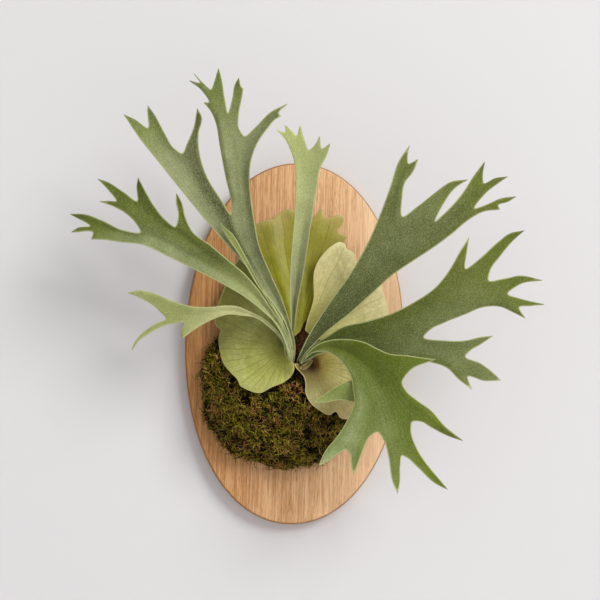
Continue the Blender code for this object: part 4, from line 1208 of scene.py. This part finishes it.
def oak_material():
    """Straight vertical oak grain with open pores, in satin oil. Painted shade darkens the left
    side and the rounded front edge, and painted light brightens the right side.
    """
    n = Nodes("oak_finish")
    broad = n.noise(n.place((1.0, 1.0, 0.05), (0.3, 0.1, 0.0)), 26.0, 3.0, 0.55, 0.3)
    band = n.noise(n.place((1.0, 1.0, 0.03)), 150.0, 3.0, 0.6)
    line = n.noise(n.place((1.0, 1.0, 0.03), (0.0, 0.7, 0.2)), 680.0, 2.0, 0.6)
    pore = n.noise(n.place((1.0, 1.0, 0.1)), 1100.0, 1.0, 0.4)
    fleck = n.noise(n.place((1.0, 1.0, 0.22), (0.5, 0.2, 0.0)), 300.0, 2.0, 0.5)
    colour = n.ramp(broad, ((0.25, (238, 191, 141)), (0.5, (244, 200, 154)),
                            (0.75, (249, 208, 166))))
    colour = n.mix(n.range(band, 0.42, 0.62, 0.0, 0.6), colour, linear((212, 160, 108)))
    colour = n.mix(n.range(line, 0.45, 0.63, 0.0, 0.62), colour, linear((182, 126, 74)))
    colour = n.mix(n.range(fleck, 0.6, 0.74, 0.0, 0.35), colour, linear((240, 206, 168)))
    zone = n.range(band, 0.35, 0.55, 0.25, 1.0)
    dash = n.times(n.range(pore, 0.56, 0.68, 0.0, 1.0), zone)
    colour = n.mix(n.times(dash, 0.52), colour, linear((150, 98, 52)))
    # Painted shade darkens the left side of the board, and painted light brightens its right
    # side.
    across = n.add("SeparateXYZ")
    n.join(n.place(), across.inputs[0])
    colour = n.mix(n.range(across.outputs["X"], -0.12, 0.06, 1.0, 0.0, True), colour,
                   linear((216, 196, 162)), "MULTIPLY")
    colour = n.mix(n.range(across.outputs["X"], 0.02, 0.11, 0.0, 0.55, True), colour,
                   linear((250, 214, 176)))
    # Painted shade on the rounded front edge, and a little on the sides, where they turn away
    # from the face.
    faced = n.add("SeparateXYZ")
    n.join(n.add("NewGeometry").outputs["Normal"], faced.inputs[0])
    turned = n.math("ABSOLUTE", faced.outputs["Y"])
    edge = n.times(n.range(turned, 0.75, 0.998, 0.9, 0.0), n.range(turned, 0.05, 0.6, 0.4, 1.0))
    colour = n.mix(edge, colour, linear((132, 86, 46)))
    height = n.math("SUBTRACT", n.times(line, 0.3), dash)
    normal = n.bump(height, 0.3, 0.0003)
    rough = n.range(line, 0.3, 0.7, 0.46, 0.6)
    return n.finish(colour, rough, normal, Specular_IOR_Level=0.35)


def zinc_material():
    """Plain plated metal, faintly brushed."""
    n = Nodes("zinc_finish")
    streak = n.noise(n.place((1.0, 1.0, 0.06)), 1500.0, 3.0)
    cloud = n.noise(n.place(), 90.0, 3.0)
    colour = n.ramp(cloud, ((0.3, (150, 152, 156)), (0.7, (186, 188, 192))))
    return n.finish(colour, n.range(streak, 0.3, 0.7, 0.28, 0.45),
                    n.bump(streak, 0.2, 0.0002), Metallic=1.0)


def dress_node(frame, node, material):
    """A node that keeps its solid shape and gets its finish."""
    obj = frame["nodes"][node]
    for place in obj.material_slots:
        place.material = material


# ---- stage ----

def add_flat(name, corners, faces, material):
    mesh = bpy.data.meshes.new(name)
    mesh.from_pydata(corners, [], faces)
    mesh.materials.append(material)
    add_object(name, mesh)


def wall_material():
    """Matt pale paint on the wall's front. Its back isn't there for a camera behind it."""
    n = Nodes("wall_finish")
    n.finish(linear((217, 216, 218)), 0.9, Specular_IOR_Level=0.2)
    clear = n.add("BsdfTransparent")
    one_sided = n.add("MixShader")
    n.join(n.add("NewGeometry").outputs["Backfacing"], one_sided.inputs[0])
    n.join(n.shader.outputs[0], one_sided.inputs[1])
    n.join(clear.outputs[0], one_sided.inputs[2])
    n.join(one_sided.outputs[0], n.tree.nodes["Material Output"].inputs["Surface"])
    return n.material


def add_stage():
    """A wall, open behind the board so that light reaches the board's back, and a floor."""
    y, steps = WALL_GAP * MM, 96
    wide, high = WALL_OPENING
    angles = [2 * math.pi * k / steps for k in range(steps)]
    inner = [(wide * math.cos(a), y, high * math.sin(a)) for a in angles]
    outer = [(WALL_REACH * math.cos(a), y, WALL_REACH * math.sin(a)) for a in angles]
    faces = [(k, steps + k, steps + (k + 1) % steps, (k + 1) % steps) for k in range(steps)]
    add_flat("wall", inner + outer, faces, wall_material())
    paint = Nodes("floor_finish").finish(linear((226, 224, 224)), 0.8)
    corners = [(x * FLOOR_REACH, y * FLOOR_REACH, FLOOR_Z)
               for x, y in ((-1, -1), (1, -1), (1, 1), (-1, 1))]
    add_flat("floor", corners, [(0, 1, 2, 3)], paint)


def add_light(name, place, size, power, colour=(1.0, 1.0, 1.0)):
    data = bpy.data.lights.new(name, "AREA")
    data.shape = "DISK"
    data.size = size
    data.energy = power
    data.color = colour
    light = add_object(name, data)
    light.location = place
    aim = Vector(LIGHTS_AIM) - Vector(place)
    light.rotation_euler = aim.to_track_quat("-Z", "Y").to_euler()


def add_lights():
    add_light("key", (3.3, -4.5, 3.1), 3.6, 325.0, colour=(1.0, 0.985, 0.96))
    add_light("fill", (-2.2, -3.4, 0.6), 2.4, 8.0)
    add_light("behind", (-1.2, 2.4, 1.0), 2.0, 34.0)
    world = bpy.data.worlds.new("studio")
    world.use_nodes = True
    background = world.node_tree.nodes["Background"]
    background.inputs["Color"].default_value = (1.0, 0.99, 0.985, 1.0)
    background.inputs["Strength"].default_value = 0.43
    bpy.context.scene.world = world


def add_camera():
    data = bpy.data.cameras.new("camera")
    data.sensor_width = 36.0
    data.lens = LENS
    data.clip_start = 0.1
    data.clip_end = 50.0
    camera = add_object("camera", data)
    ahead = (Vector(TARGET) - Vector(EYE)).normalized()
    level = ahead.cross(Vector((0, 0, 1))).normalized()
    above = level.cross(ahead)
    right = math.cos(ROLL) * level + math.sin(ROLL) * above
    up = -math.sin(ROLL) * level + math.cos(ROLL) * above
    turn = Matrix((right, up, -ahead)).transposed().to_4x4()
    camera.matrix_world = Matrix.Translation(EYE) @ turn
    bpy.context.scene.camera = camera


def build():
    for obj in list(bpy.data.objects):
        bpy.data.objects.remove(obj, do_unlink=True)
    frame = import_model()
    bpy.context.scene.view_settings.view_transform = "Standard"
    add_camera()
    add_stage()
    add_lights()
    dress_node(frame, "oak_board", oak_material())
    zinc = zinc_material()
    for node in ("keyhole_plate", "plate_screw_upper", "plate_screw_lower"):
        dress_node(frame, node, zinc)
    finishes = {frond["node"]: add_antler(frond) for frond in ANTLERS}
    add_folded_lobe(finishes["antler_frond_lower_right"])
    for shield in SHIELDS:
        add_shield(shield)
    add_bract()
    moss = moss_material()
    add_mound_core(moss)
    add_moss(moss)
    add_rhizome()


build()
